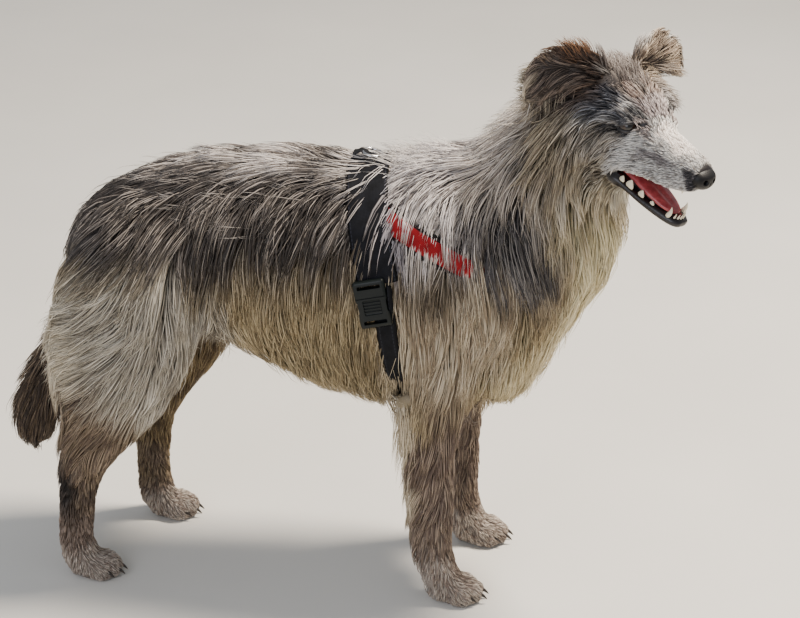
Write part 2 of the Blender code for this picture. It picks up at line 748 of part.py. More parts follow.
def build_paws():
    legs = leg_lofts()
    for name, (x, y, size) in PAWS.items():
        solid = fuse(gather(name, [*paw(x, y, size), legs[name]]), PAW_VOXEL, 4, 0)
        keep_side(solid, (x, y, WRIST_CUT), (0, 0, -1))
        lighten(solid, PAW_TRIANGLES)
        floor = half_space((x, y, 0.0), (0, 0, 1), 0.0)
        boolean(solid, floor, "INTERSECT")
        drop(floor)
        limb = name.replace("paw_", "")
        for number, (cx, cy) in enumerate(claw_places(x, y, size), 1):
            room = gather("room", [claw(cx, cy, size, 1.6 * GAP)])
            boolean(solid, room, "DIFFERENCE")
            drop(room)
            finish(gather("claw", [claw(cx, cy, size)]), f"claw_{limb}_{number}", CLAW)
        finish(solid, name, COAT)


# ---------------------------------------------------------------- harness
def slab(point, normal, width):
    """A wide flat box, its faces `width` apart, square to the normal."""
    turn = Vector(normal).normalized().to_track_quat("Z", "Y").to_matrix()
    return box(point, (0.9, 0.9, width), turn)


def tilted(angle):
    """The normal of an upright cross plane, leaned so that its foot comes forward."""
    return Vector((math.cos(angle), 0.0, math.sin(angle)))


GIRTH_NORMAL = tilted(GIRTH_TILT)
WEB_NORMAL = tilted(math.radians(6.0))
BAND_NORMAL = Vector((math.sin(BAND_FALL), 0.0, math.cos(BAND_FALL)))


def girth_point(height):
    """The middle of the saddle strap at that height, in the dog's midplane."""
    along = (GIRTH_TOP.z - height) * math.tan(GIRTH_TILT)
    return Vector((GIRTH_TOP.x + along, 0.0, height))


def strap_round(trunk, point, normal, width):
    """A flat strap round the trunk, sunk in the coat's outline, and the groove it lies in."""
    over = grown(trunk, "over", 0.016)
    outer = grown(trunk, "outer", -STRAP_SINK)
    inner = grown(trunk, "inner", -STRAP_SINK - STRAP_DEPTH)
    bed = grown(trunk, "bed", -STRAP_SINK - STRAP_DEPTH - GAP)
    strap = slab(point, normal, width)
    boolean(strap, outer, "INTERSECT")
    boolean(strap, inner, "DIFFERENCE")
    groove = slab(point, normal, width + 2 * GAP)
    boolean(groove, over, "INTERSECT")
    boolean(groove, bed, "DIFFERENCE")
    for spare in (over, outer, inner, bed):
        drop(spare)
    return strap, groove


def surface_at(thing, x, z, sign):
    """Where the body's side is at this place along and up, and the way it faces."""
    start = Vector((x, sign * 0.5, z))
    hit, place, normal, _ = thing.ray_cast(start, Vector((0.0, -sign, 0.0)))
    if not hit:
        raise ValueError("no body there")
    return place, normal


def buckle(trunk, sign, fatter=0.0):
    """A side-release buckle: a rounded block between the saddle and the web."""
    middle = girth_point(SADDLE_FOOT) + tilted(math.radians(-99.0)) * (BUCKLE_SIZE.z / 2 - 0.002)
    place, normal = surface_at(trunk, middle.x, middle.z, sign)
    out = Vector((0.0, normal.y, normal.z * 0.8)).normalized()
    down = Vector((math.sin(GIRTH_TILT), 0.0, -math.cos(GIRTH_TILT)))
    down = (down - down.project(out)).normalized()
    ahead = out.cross(down).normalized()
    turn = Matrix((ahead, out, down)).transposed()
    body = bmesh.new()
    bmesh.ops.create_cube(body, size=1.0)
    size = BUCKLE_SIZE + Vector((2, 2, 2)) * fatter
    bmesh.ops.scale(body, vec=size, verts=body.verts)
    if not fatter:
        bmesh.ops.bevel(
            body, geom=body.edges[:], offset=0.0025, segments=2, profile=0.5, affect="EDGES"
        )
    bmesh.ops.rotate(body, cent=(0, 0, 0), matrix=turn, verts=body.verts)
    bmesh.ops.translate(body, vec=place - out * (STRAP_SINK - 0.001), verts=body.verts)
    return body


def lead_ring(saddle_top):
    """A steel ring lying on top of the saddle."""
    bpy.ops.mesh.primitive_torus_add(
        major_radius=RING_RADIUS, minor_radius=RING_WIRE, major_segments=16, minor_segments=5,
        location=saddle_top, rotation=(0.0, math.radians(10.0), 0.0),
    )
    ring = bpy.context.object
    apply_modifiers(ring)
    return ring


def build_harness(body, trunk):
    """Cuts the grooves in the body and leaves the harness's solids in the scene."""
    foot = girth_point(SADDLE_FOOT)
    saddle, saddle_groove = strap_round(trunk, GIRTH_TOP, GIRTH_NORMAL, SADDLE_WIDTH)
    web = foot + Vector((WEB_AHEAD, 0.0, 0.0))
    girth, girth_groove = strap_round(trunk, web, WEB_NORMAL, WEB_WIDTH)
    band, band_groove = strap_round(trunk, BAND_POINT, BAND_NORMAL, BAND_WIDTH)
    front = GIRTH_TOP + GIRTH_NORMAL * SADDLE_WIDTH / 2
    for thing in (band, band_groove):
        keep_side(thing, front, GIRTH_NORMAL)
    for thing in (saddle, saddle_groove):
        keep_side(thing, foot, (0, 0, 1))
    for thing in (girth, girth_groove):
        keep_side(thing, foot, (0, 0, -1))
    for groove in (saddle_groove, girth_groove, band_groove):
        boolean(body, groove, "DIFFERENCE")
        drop(groove)
    for side, sign in (("left", 1), ("right", -1)):
        room = gather("room", [buckle(trunk, sign, GAP)])
        for thing in (body, saddle, girth):
            boolean(thing, room, "DIFFERENCE")
        drop(room)
        finish(gather("buckle", [buckle(trunk, sign)]), f"harness_buckle_{side}", PLASTIC)
    top = surface_at_top(saddle, GIRTH_TOP.x)
    ring = lead_ring(top + Vector((0.0, 0.0, RING_WIRE + 0.0042)))
    finish(ring, "harness_ring", STEEL)
    finish(keep_largest(saddle), "harness_saddle", WEBBING)
    finish(keep_largest(girth), "harness_girth", WEBBING)
    finish(keep_largest(band), "harness_chest_band", RED_FABRIC)


def surface_at_top(thing, x):
    hit, place, _, _ = thing.ray_cast(Vector((x, 0.0, 1.0)), Vector((0.0, 0.0, -1.0)))
    if not hit:
        raise ValueError("nothing there")
    return place


# ---------------------------------------------------------------- tail
def tail_loft():
    """Hangs from the croup and swings out at the end; the reaches are inwards and outwards."""
    stations = [
        (-0.234, 0.0, 0.404, 0.018, 0.016, 0.018),
        (-0.258, 0.0, 0.362, 0.023, 0.020, 0.019),
        (-0.276, 0.0, 0.314, 0.026, 0.022, 0.019),
        (-0.291, 0.0, 0.270, 0.029, 0.025, 0.021),
        (-0.311, 0.0, 0.228, 0.031, 0.032, 0.029),
        (-0.328, 0.0, 0.186, 0.029, 0.038, 0.034),
        (-0.336, 0.0, 0.148, 0.020, 0.032, 0.028),
        (-0.338, 0.0, 0.124, 0.008, 0.014, 0.012),
    ]
    return loft(stations, steps=2, sides=14)


# ---------------------------------------------------------------- the body's parting
def build_body(neck_plane):
    """The body from wrist and hock to the neck's top, in its named pieces."""
    trunk = fuse(gather("trunk", [*trunk_lofts(), neck_loft()]), BODY_VOXEL, 8, TRUNK_TRIANGLES)
    body = body_object()
    keep_side(body, neck_plane[0], -neck_plane[1])
    keep_side(body, (0, 0, WRIST_CUT), (0, 0, 1))
    build_harness(body, trunk)
    drop(trunk)
    tail = gather("tail", [tail_loft()])
    skin = grown(body, "skin", GAP)
    boolean(tail, skin, "DIFFERENCE")
    drop(skin)
    finish(keep_largest(tail), "tail", COAT)

    neck, body = split(body, *NECK_PLANE, "neck", "body")
    chest, body = split(body, *RIB_PLANE, "chest", "body")
    barrel, body = split(body, *RUMP_PLANE, "barrel", "rump")
    thighs, rump = split(body, *THIGH_PLANE, "thighs", "rump")
    lower, thighs = split(thighs, *HOCK_PLANE, "lower", "thighs")
    for whole, name in ((thighs, "thigh"), (lower, "lower_hind_leg")):
        left, right = split(whole, (0, 0, 0), (0, 1, 0), f"{name}_left", f"{name}_right")
        finish(left, f"{name}_left", COAT)
        finish(right, f"{name}_right", COAT)
    part_fore_legs(chest)
    for thing, name in ((neck, "neck"), (chest, "chest"), (barrel, "barrel"), (rump, "rump")):
        finish(thing, name, COAT)


def part_fore_legs(chest):
    place, size = (Vector(v) for v in ELBOW_BOX)
    for side, sign in (("left", 1), ("right", -1)):
        leg = copy_of(chest, "leg")
        wide = size.y / 2 - BREAST_HALF
        middle = Vector((place.x, sign * (BREAST_HALF + wide / 2), place.z))
        inside = box(middle, Vector((size.x, wide, size.z)))
        boolean(leg, inside, "INTERSECT")
        drop(inside)
        room = box(middle, Vector((size.x, wide, size.z)) + Vector((2, 2, 2)) * GAP)
        boolean(chest, room, "DIFFERENCE")
        drop(room)
        finish(keep_largest(leg), f"fore_leg_{side}", COAT)


def islands(mesh):
    """The mesh's separate pieces, as lists of face numbers."""
    body = bmesh.new()
    body.from_mesh(mesh)
    body.faces.ensure_lookup_table()
    seen, found = set(), []
    for start in body.faces:
        if start.index in seen:
            continue
        stack, piece = [start], []
        seen.add(start.index)
        while stack:
            face = stack.pop()
            piece.append(face.index)
            for edge in face.edges:
                for near in edge.link_faces:
                    if near.index not in seen:
                        seen.add(near.index)
                        stack.append(near)
        found.append(piece)
    body.free()
    return found


def keep_largest(thing):
    """Drops every crumb that a Boolean left beside the main piece."""
    found = sorted(islands(thing.data), key=len)
    if len(found) > 1:
        body = bmesh.new()
        body.from_mesh(thing.data)
        body.faces.ensure_lookup_table()
        crumbs = [body.faces[i] for piece in found[:-1] for i in piece]
        bmesh.ops.delete(body, geom=crumbs, context="FACES")
        body.to_mesh(thing.data)
        body.free()
    return thing


def settle():
    """Puts the origin on the floor under the middle of the whole dog."""
    low, high = Vector((9, 9, 9)), Vector((-9, -9, -9))
    for thing in dog_parts.objects:
        for corner in thing.data.vertices:
            for axis in range(3):
                low[axis] = min(low[axis], corner.co[axis])
                high[axis] = max(high[axis], corner.co[axis])
    shift = Vector((-(low.x + high.x) / 2, -(low.y + high.y) / 2, -low.z))
    for thing in dog_parts.objects:
        thing.data.transform(Matrix.Translation(shift))
    print("moved by", [round(v, 5) for v in shift], "overall", [round(v, 4) for v in high - low])
    return shift


if __name__ == "__main__":
    build_body(build_head())
    build_paws()
    moved = settle()
    for thing in dog_parts.objects:
        count = sum(len(face.vertices) - 2 for face in thing.data.polygons)
        print(thing.name, count, len(islands(thing.data)))
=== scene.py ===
# %% [markdown]
# # A life-size merle herding dog in a walking harness
#
# The dog stands still, as in a museum. Its solids were made first, one for each part of the
# body, and they reach out to the tips of the coat. Here they are loaded as a fixed frame, and
# everything that the eye sees is made around them: one skin that lies inside the solids by the
# coat's depth, the coat itself as tens of thousands of thin solid tufts, the eyes, nose, mouth
# and claws, and the harness.
#
# Lengths are metres. X runs forward, Y to the dog's left and Z up.

# %% Load the solids
import json
import math

import bmesh
import bpy
import numpy as np
from mathutils import Matrix, Vector, kdtree
from mathutils.bvhtree import BVHTree

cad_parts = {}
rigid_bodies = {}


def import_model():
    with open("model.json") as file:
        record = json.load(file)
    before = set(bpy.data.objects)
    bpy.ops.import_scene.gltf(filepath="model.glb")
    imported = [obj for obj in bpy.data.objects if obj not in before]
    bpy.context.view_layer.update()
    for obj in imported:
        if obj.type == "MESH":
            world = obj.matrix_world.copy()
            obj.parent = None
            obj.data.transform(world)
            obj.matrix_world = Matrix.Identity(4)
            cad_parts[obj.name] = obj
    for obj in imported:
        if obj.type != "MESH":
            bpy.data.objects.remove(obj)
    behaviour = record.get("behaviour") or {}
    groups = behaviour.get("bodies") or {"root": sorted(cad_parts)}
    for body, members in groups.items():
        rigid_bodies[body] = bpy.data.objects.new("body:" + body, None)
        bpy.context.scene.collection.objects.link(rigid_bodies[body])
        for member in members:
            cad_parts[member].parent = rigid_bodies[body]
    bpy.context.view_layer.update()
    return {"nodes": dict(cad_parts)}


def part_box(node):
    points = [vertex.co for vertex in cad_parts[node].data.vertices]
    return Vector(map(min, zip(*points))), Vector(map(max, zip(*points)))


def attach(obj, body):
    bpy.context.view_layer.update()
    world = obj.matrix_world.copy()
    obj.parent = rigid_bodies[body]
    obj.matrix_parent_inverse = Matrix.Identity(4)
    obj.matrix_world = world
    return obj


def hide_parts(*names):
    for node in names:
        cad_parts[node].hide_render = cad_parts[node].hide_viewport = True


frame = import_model()
chance = np.random.default_rng(7)  # the seed, so that each run gives the same coat
MM = 0.001

# %% [markdown]
# ## Two working frames
#
# A long table of places is easier to read when it is symmetric. So the body's tables are laid
# out about the dog's own midplane, and the head's about the midpoint between the eyes, with x
# to the nose. Both frames are found again from solids whose places in them are known: the lead
# ring on top of the harness, the two eyeballs and the nose.


# %% Find the body's and the head's frames
def middle(node):
    low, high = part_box(node)
    return (np.array(low) + np.array(high)) / 2


RING_AHEAD = 0.074  # the ring lies this far ahead of the middle of the back
BODY_AT = np.array([middle("harness_ring")[0] - RING_AHEAD, middle("harness_ring")[1], 0.0])

EYE_PLACE = np.array([-0.006, 0.027, 0.004])  # the left eyeball in head coordinates
NOSE_PLACE = np.array([0.0745, 0.0, -0.0318])


def head_frame():
    """The head's 3x3 axes with its scale in them, and the midpoint between the eyes."""
    left, right, nose = middle("eye_left"), middle("eye_right"), middle("nose")
    size = np.linalg.norm(left - right) / (2 * EYE_PLACE[1])
    side = (left - right) / np.linalg.norm(left - right)
    ahead = nose - (left + right) / 2
    ahead -= side * (ahead @ side)
    ahead /= np.linalg.norm(ahead)
    above = np.cross(ahead, side)
    dip = math.atan2(EYE_PLACE[2] - NOSE_PLACE[2], NOSE_PLACE[0] - EYE_PLACE[0])
    x_axis = ahead * math.cos(dip) + above * math.sin(dip)
    z_axis = above * math.cos(dip) - ahead * math.sin(dip)
    axes = np.stack([x_axis, side, z_axis], axis=1) * size
    return axes, (left + right) / 2 - axes @ (EYE_PLACE * [1, 0, 1])


HEAD_AXES, HEAD_AT = head_frame()
HEAD_SIZE = float(np.linalg.norm(HEAD_AXES[:, 0]))


def from_head(places):
    return np.asarray(places, float) @ HEAD_AXES.T + HEAD_AT


def to_head(places):
    return (np.asarray(places, float) - HEAD_AT) @ np.linalg.inv(HEAD_AXES).T


print("body frame at", BODY_AT.round(4), "head at", HEAD_AT.round(4), "scale", round(HEAD_SIZE, 3))

# %% [markdown]
# ## The camera
#
# A standing person with a long lens sees the dog's right side, a little from ahead and from
# above. A long lens keeps the proportions true.

# %% Camera
LENS, DISTANCE = 119.0, 3.0
AZIMUTH, ELEVATION = math.radians(10), math.radians(24)
AIM = Vector((0.105, 0.0, 0.328)) + Vector(BODY_AT)
level = math.cos(ELEVATION)
back = Vector((math.sin(AZIMUTH) * level, -math.cos(AZIMUTH) * level, math.sin(ELEVATION)))
camera = bpy.data.objects.new("camera", bpy.data.cameras.new("camera"))
camera.data.lens = LENS
camera.location = AIM + back * DISTANCE
camera.rotation_euler = back.to_track_quat("Z", "Y").to_euler()
bpy.context.scene.collection.objects.link(camera)
bpy.context.scene.camera = camera
print("camera stands at", [round(v, 2) for v in camera.location])

# %% [markdown]
# ## Small helpers
#
# Colours are picked as the sRGB hex values that an artist reads off a screen, and one function
# turns them into the linear light that the shaders use. One more function adds a shader node
# with its settings and links. Where a node is given as an input, its first output is meant.


# %% Helpers for colours and nodes
def linear(text):
    """'#rrggbb' as linear red, green and blue."""
    parts = (int(text[i : i + 2], 16) / 255 for i in (1, 3, 5))
    return tuple(c / 12.92 if c <= 0.04045 else ((c + 0.055) / 1.055) ** 2.4 for c in parts)


def plug(node, inputs):
    """Sets or links inputs of a node, given by name, or as a tuple in their order."""
    named_inputs = inputs.items() if isinstance(inputs, dict) else enumerate(inputs)
    for name, value in named_inputs:
        if isinstance(value, bpy.types.Node):
            value = value.outputs[0]
        elif isinstance(value, str):
            value = (*linear(value), 1.0)
        if isinstance(value, bpy.types.NodeSocket):
            node.id_data.links.new(value, node.inputs[name])
        else:
            node.inputs[name].default_value = value


def add(tree, kind, inputs=(), stops=(), **settings):
    """Adds a shader node with its settings, its inputs and, for a ramp, its coloured stops."""
    made = tree.nodes.new("ShaderNode" + kind)
    for name, value in settings.items():
        setattr(made, name, value)
    if stops:
        elements = made.color_ramp.elements
        while len(elements) < len(stops):
            elements.new(1.0)
        for element, (at, shade) in zip(elements, stops):
            element.position, element.color = at, (*linear(shade), 1.0)
    plug(made, inputs)
    return made


def finish_named(name, **constants):
    """A new material; the constants go straight onto its Principled shader's sockets."""
    made = bpy.data.materials.new(name)
    made.use_nodes = True
    shader = made.node_tree.nodes["Principled BSDF"]
    plug(shader, {socket.replace("_", " "): value for socket, value in constants.items()})
    return made, made.node_tree, shader


# %% [markdown]
# Meshes are read and written as whole arrays, because a loop over a million points in Python
# would take minutes. An operator works on what is selected, so one function selects.


# %% Helpers for objects and meshes
def select(*things):
    """Selects only these things and makes the first one active."""
    for other in bpy.context.view_layer.objects:
        other.select_set(other in things)
    if things:
        bpy.context.view_layer.objects.active = things[0]


def object_of(name, mesh, finish=None):
    made = bpy.data.objects.new(name, mesh)
    bpy.context.scene.collection.objects.link(made)
    if finish is not None:
        mesh.materials.append(finish)
    return made


def fit(piece, slot, *nodes):
    """Makes a piece part of the one body and hides the solids it stands for; `slot` is not used."""
    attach(piece, "root")
    if nodes:
        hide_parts(*nodes)


def mesh_of(name, points, faces):
    """A smooth-shaded mesh from an (n, 3) array of points and an (m, k) array of faces."""
    mesh = bpy.data.meshes.new(name)
    mesh.vertices.add(len(points))
    mesh.vertices.foreach_set("co", np.asarray(points, np.float32).ravel())
    mesh.loops.add(faces.size)
    mesh.loops.foreach_set("vertex_index", np.asarray(faces, np.int32).ravel())
    mesh.polygons.add(len(faces))
    starts = np.arange(0, faces.size, faces.shape[1], dtype=np.int32)
    mesh.polygons.foreach_set("loop_start", starts)
    mesh.update(calc_edges=True)
    mesh.shade_smooth()
    return mesh


def read(items, name, width, kind=np.float32):
    """One property of all items of a mesh, as an (n, width) array."""
    flat = np.empty(len(items) * width, kind)
    items.foreach_get(name, flat)
    return flat.reshape(-1, width)


def places_of(mesh):
    return read(mesh.vertices, "co", 3).astype(float)


def normals_of(mesh):
    return read(mesh.vertex_normals, "vector", 3).astype(float)


def edges_of(mesh):
    return read(mesh.edges, "vertices", 2, np.int32)


def triangles_of(mesh):
    mesh.calc_loop_triangles()
    return read(mesh.loop_triangles, "vertices", 3, np.int32)


def set_places(mesh, places):
    mesh.vertices.foreach_set("co", np.asarray(places, np.float32).ravel())
    mesh.update()


FIELDS = {"FLOAT": "value", "FLOAT_VECTOR": "vector", "FLOAT_COLOR": "color"}


def store(mesh, name, kind, values):
    """Keeps values for all points as an attribute, which a shader can read by its name."""
    layers = mesh.color_attributes if kind == "FLOAT_COLOR" else mesh.attributes
    made = layers.new(name, kind, "POINT")
    made.data.foreach_set(FIELDS[kind], np.asarray(values, np.float32).ravel())


def smoothed(values, edges, rounds):
    """Moves each vertex's value half way to the mean of its neighbours', some rounds over."""
    values = np.array(values, float)
    flat = values.reshape(len(values), -1)
    a, b = edges[:, 0], edges[:, 1]
    count = np.bincount(a, minlength=len(flat)) + np.bincount(b, minlength=len(flat))
    count = np.maximum(count, 1)
    for _ in range(rounds):
        for column in range(flat.shape[1]):
            old = flat[:, column]
            total = np.bincount(a, old[b], len(flat)) + np.bincount(b, old[a], len(flat))
            flat[:, column] = old + 0.5 * (total / count - old)
    return flat.reshape(values.shape)


def modify(thing, kind, **settings):
    """Adds a modifier with these settings and applies it."""
    select(thing)
    made = thing.modifiers.new(kind.lower(), kind)
    for name, value in settings.items():
        setattr(made, name, value)
    bpy.ops.object.modifier_apply(modifier=made.name)


def unit(vectors):
    return vectors / np.maximum(np.linalg.norm(vectors, axis=-1, keepdims=True), 1e-9)


def ease(values, low, high):
    """0 below low, 1 above high, and a smooth step between."""
    share = np.clip((np.asarray(values, float) - low) / (high - low), 0, 1)
    return share * share * (3 - 2 * share)


def tree_of(places):
    """A search tree of places, which finds the nearest one."""
    tree = kdtree.KDTree(len(places))
    for i, place in enumerate(places):
        tree.insert(place, i)
    tree.balance()
    return tree


# %% [markdown]
# ## The lie of the coat
#
# A groomer reads a coat as a map: which way the hair lies, how long it is and how far it lifts
# the outline off the skin. The map is kept as a short table of places. Between them every value
# is a soft blend of the nearest rows, so the coat turns from one flow to the next with no seam.
# Rows with y above zero are mirrored to the right side, apart from the few that belong to one
# leg or one ear only.

# %% The map of the coat
# x, y, z in mm; lie x, y, z; length, depth of coat, spacing and width of tufts in mm; cling
BODY_BOTH = [
    (-235, 12, 466, -0.92, 0.25, -0.4, 70, 17, 3.4, 1.5, 0.9),  # croup
    (-150, 14, 500, -0.88, 0.45, -0.2, 86, 20, 3.4, 1.5, 0.9),  # loin
    (-60, 14, 516, -0.85, 0.5, -0.15, 89, 21, 3.4, 1.5, 0.9),
    (15, 14, 516, -0.85, 0.5, -0.15, 82, 21, 3.4, 1.5, 0.9),
    (66, 14, 505, -0.4, 0.8, -0.4, 67, 18, 3.4, 1.5, 0.9),  # under the saddle
    (120, 14, 524, -0.6, 0.7, -0.2, 89, 24, 3.4, 1.5, 0.9),  # withers
    (180, 14, 545, -0.65, 0.6, -0.35, 94, 28, 3.4, 1.5, 0.9),
    (240, 14, 595, -0.7, 0.55, -0.55, 79, 26, 3.4, 1.5, 0.9),  # nape
    (-240, 90, 425, -0.6, 0.1, -0.8, 84, 20, 3.4, 1.5, 0.9),  # rump's side
    (-160, 88, 450, -0.32, 0.3, -0.9, 98, 22, 3.4, 1.5, 0.9),
    (-60, 75, 460, -0.22, 0.35, -0.92, 98, 22, 3.4, 1.5, 0.9),
    (20, 78, 455, -0.22, 0.35, -0.92, 91, 22, 3.4, 1.5, 0.9),
    (130, 90, 470, -0.15, 0.25, -0.95, 101, 25, 3.1, 1.23, 0.9),  # shoulder
    (190, 88, 490, -0.3, 0.25, -0.9, 106, 28, 3.1, 1.23, 0.9),
    (-60, 94, 380, -0.06, 0, -1, 91, 20, 3.4, 1.5, 0.9),  # flank
    (20, 100, 370, -0.03, 0, -1, 91, 20, 3.4, 1.5, 0.9),
    (110, 105, 380, 0, 0, -1, 84, 20, 3.4, 1.5, 0.9),
    (170, 110, 390, -0.05, 0, -1, 86, 22, 3.4, 1.5, 0.9),
    (-65, 70, 300, 0.05, -0.1, -1, 84, 22, 3.2, 1.41, 0.5),  # lower flank
    (5, 78, 290, 0.14, -0.1, -1, 91, 26, 3.2, 1.41, 0.4),
    (75, 84, 275, 0.12, -0.1, -1, 84, 26, 3.2, 1.41, 0.4),
    (-70, 15, 275, 0.1, 0, -1, 48, 20, 4.2, 2, 0.3),  # belly
    (15, 15, 245, 0.14, 0, -1, 70, 30, 3.7, 1.5, 0.3),
    (95, 15, 232, 0.1, 0, -1, 70, 30, 3.7, 1.5, 0.3),
    (235, 85, 550, -0.35, 0.08, -1, 101, 30, 3.1, 1.23, 0.9),  # neck's side
    (285, 78, 570, -0.28, 0.05, -1, 89, 28, 3.1, 1.23, 0.9),
    (225, 97, 450, 0.32, 0, -1, 103, 29, 3.1, 1.23, 0.9),
    (275, 85, 470, 0.16, 0, -1, 106, 28, 3.1, 1.23, 0.8),
    (310, 30, 440, 0.06, 0.1, -1, 110, 22, 3.4, 1.5, 0.7),  # ruff
    (285, 20, 370, 0.02, 0.08, -1, 110, 25, 3.4, 1.5, 0.6),
    (255, 20, 300, -0.05, 0.05, -1, 86, 25, 3.4, 1.5, 0.5),
    (215, 25, 240, -0.1, 0, -1, 65, 26, 3.4, 1.41, 0.5),  # breast
    (168, 108, 310, -0.1, 0, -1, 74, 17, 3.2, 1.32, 0.8),  # upper arm
    (160, 98, 245, -0.16, 0, -1, 53, 12, 3.4, 1.6, 0.8),
    (112, 75, 222, -0.3, 0, -1, 84, 20, 3.2, 1.32, 0.12),  # elbow's feather
    (195, 70, 185, -0.05, 0, -1, 22, 6, 2.8, 1.7, 1),  # forearm, in front
    (165, 102, 160, -0.15, 0, -1, 20, 6, 2.8, 1.7, 1),  # outside
    (165, 40, 160, -0.15, 0, -1, 20, 6, 2.8, 1.7, 1),  # inside
    (136, 70, 165, -0.5, 0, -0.9, 66, 11, 3, 1.23, 0.12),  # its feather
    (142, 70, 100, -0.4, 0, -0.9, 42, 8, 2.8, 1.3, 0.2),
    (186, 72, 90, 0.05, 0, -1, 13, 4, 2.5, 1.5, 1),  # wrist
    (192, 72, 36, 0.5, 0, -0.75, 9, 3, 2.2, 1.3, 1),  # fore paw
    (212, 72, 18, 0.8, 0, -0.5, 7, 2.5, 2, 1.2, 1),
    (150, 72, 25, -0.3, 0, -0.9, 12, 4, 2.4, 1.4, 0.7),
    (-130, 112, 350, 0.04, 0, -1, 79, 18, 3.3, 1.41, 0.8),  # thigh
    (-195, 120, 340, -0.72, 0.05, -0.6, 86, 22, 3.3, 1.41, 0.7),
    (-255, 104, 320, -0.97, 0.05, -0.22, 96, 25, 3.3, 1.41, 0.45),  # breeches
    (-262, 92, 250, -0.9, 0, -0.42, 94, 25, 3.3, 1.41, 0.4),
    (-200, 112, 250, -0.5, 0, -0.85, 79, 20, 3.3, 1.41, 0.6),
    (-262, 30, 360, -0.5, 0.2, -0.85, 72, 20, 3.5, 1.5, 0.6),  # below the tail's root
    (-235, 30, 250, -0.6, -0.1, -0.85, 67, 18, 3.5, 1.5, 0.5),
    (-150, 100, 260, -0.3, 0, -1, 55, 13, 3.5, 1.7, 0.8),
    (-95, 85, 320, 0.05, -0.1, -1, 51, 11, 3.6, 1.7, 0.8),  # groin
    (-130, 40, 270, -0.2, 0, -1, 37, 9, 3.8, 1.7, 0.8),
    (-250, 15, 385, -0.4, 0.1, -0.95, 46, 8, 3.6, 1.7, 0.8),  # tail's root
    (-292, 22, 290, -0.4, 0.25, -0.9, 62, 12, 3, 1.32, 0.6),  # tail
    (-325, 22, 215, -0.3, 0.15, -0.95, 74, 15, 2.8, 1.23, 0.45),
    (-338, 10, 150, -0.1, 0.05, -1, 65, 12, 2.7, 1.14, 0.3),
]
BODY_ONE = [
    (-195, -88, 205, -0.25, 0, -1, 26, 8, 3.2, 1.9, 1),  # right gaskin and hock
    (-262, -88, 190, -0.6, 0, -0.85, 70, 16, 3, 1.23, 0.35),
    (-215, -88, 130, -0.15, 0, -1, 16, 5, 2.7, 1.6, 1),
    (-272, -88, 125, -0.2, 0, -1, 22, 7, 2.8, 1.7, 0.7),
    (-255, -88, 75, 0.05, 0, -1, 13, 4, 2.5, 1.5, 1),
    (-232, -88, 36, 0.5, 0, -0.75, 9, 3, 2.2, 1.3, 1),
    (-214, -88, 18, 0.8, 0, -0.5, 7, 2.5, 2, 1.2, 1),
    (-274, -88, 25, -0.3, 0, -0.9, 12, 4, 2.4, 1.4, 0.7),
    (-150, 72, 205, -0.25, 0, -1, 24, 7, 3.2, 1.9, 1),  # left gaskin and hock
    (-215, 72, 195, -0.6, 0, -0.85, 65, 15, 3, 1.23, 0.35),
    (-165, 72, 130, -0.15, 0, -1, 16, 5, 2.7, 1.6, 1),
    (-222, 72, 125, -0.2, 0, -1, 22, 7, 2.8, 1.7, 0.7),
    (-202, 72, 75, 0.05, 0, -1, 13, 4, 2.5, 1.5, 1),
    (-180, 72, 36, 0.5, 0, -0.75, 9, 3, 2.2, 1.3, 1),
    (-162, 72, 18, 0.8, 0, -0.5, 7, 2.5, 2, 1.2, 1),
    (-222, 72, 25, -0.3, 0, -0.9, 12, 4, 2.4, 1.4, 0.7),
]
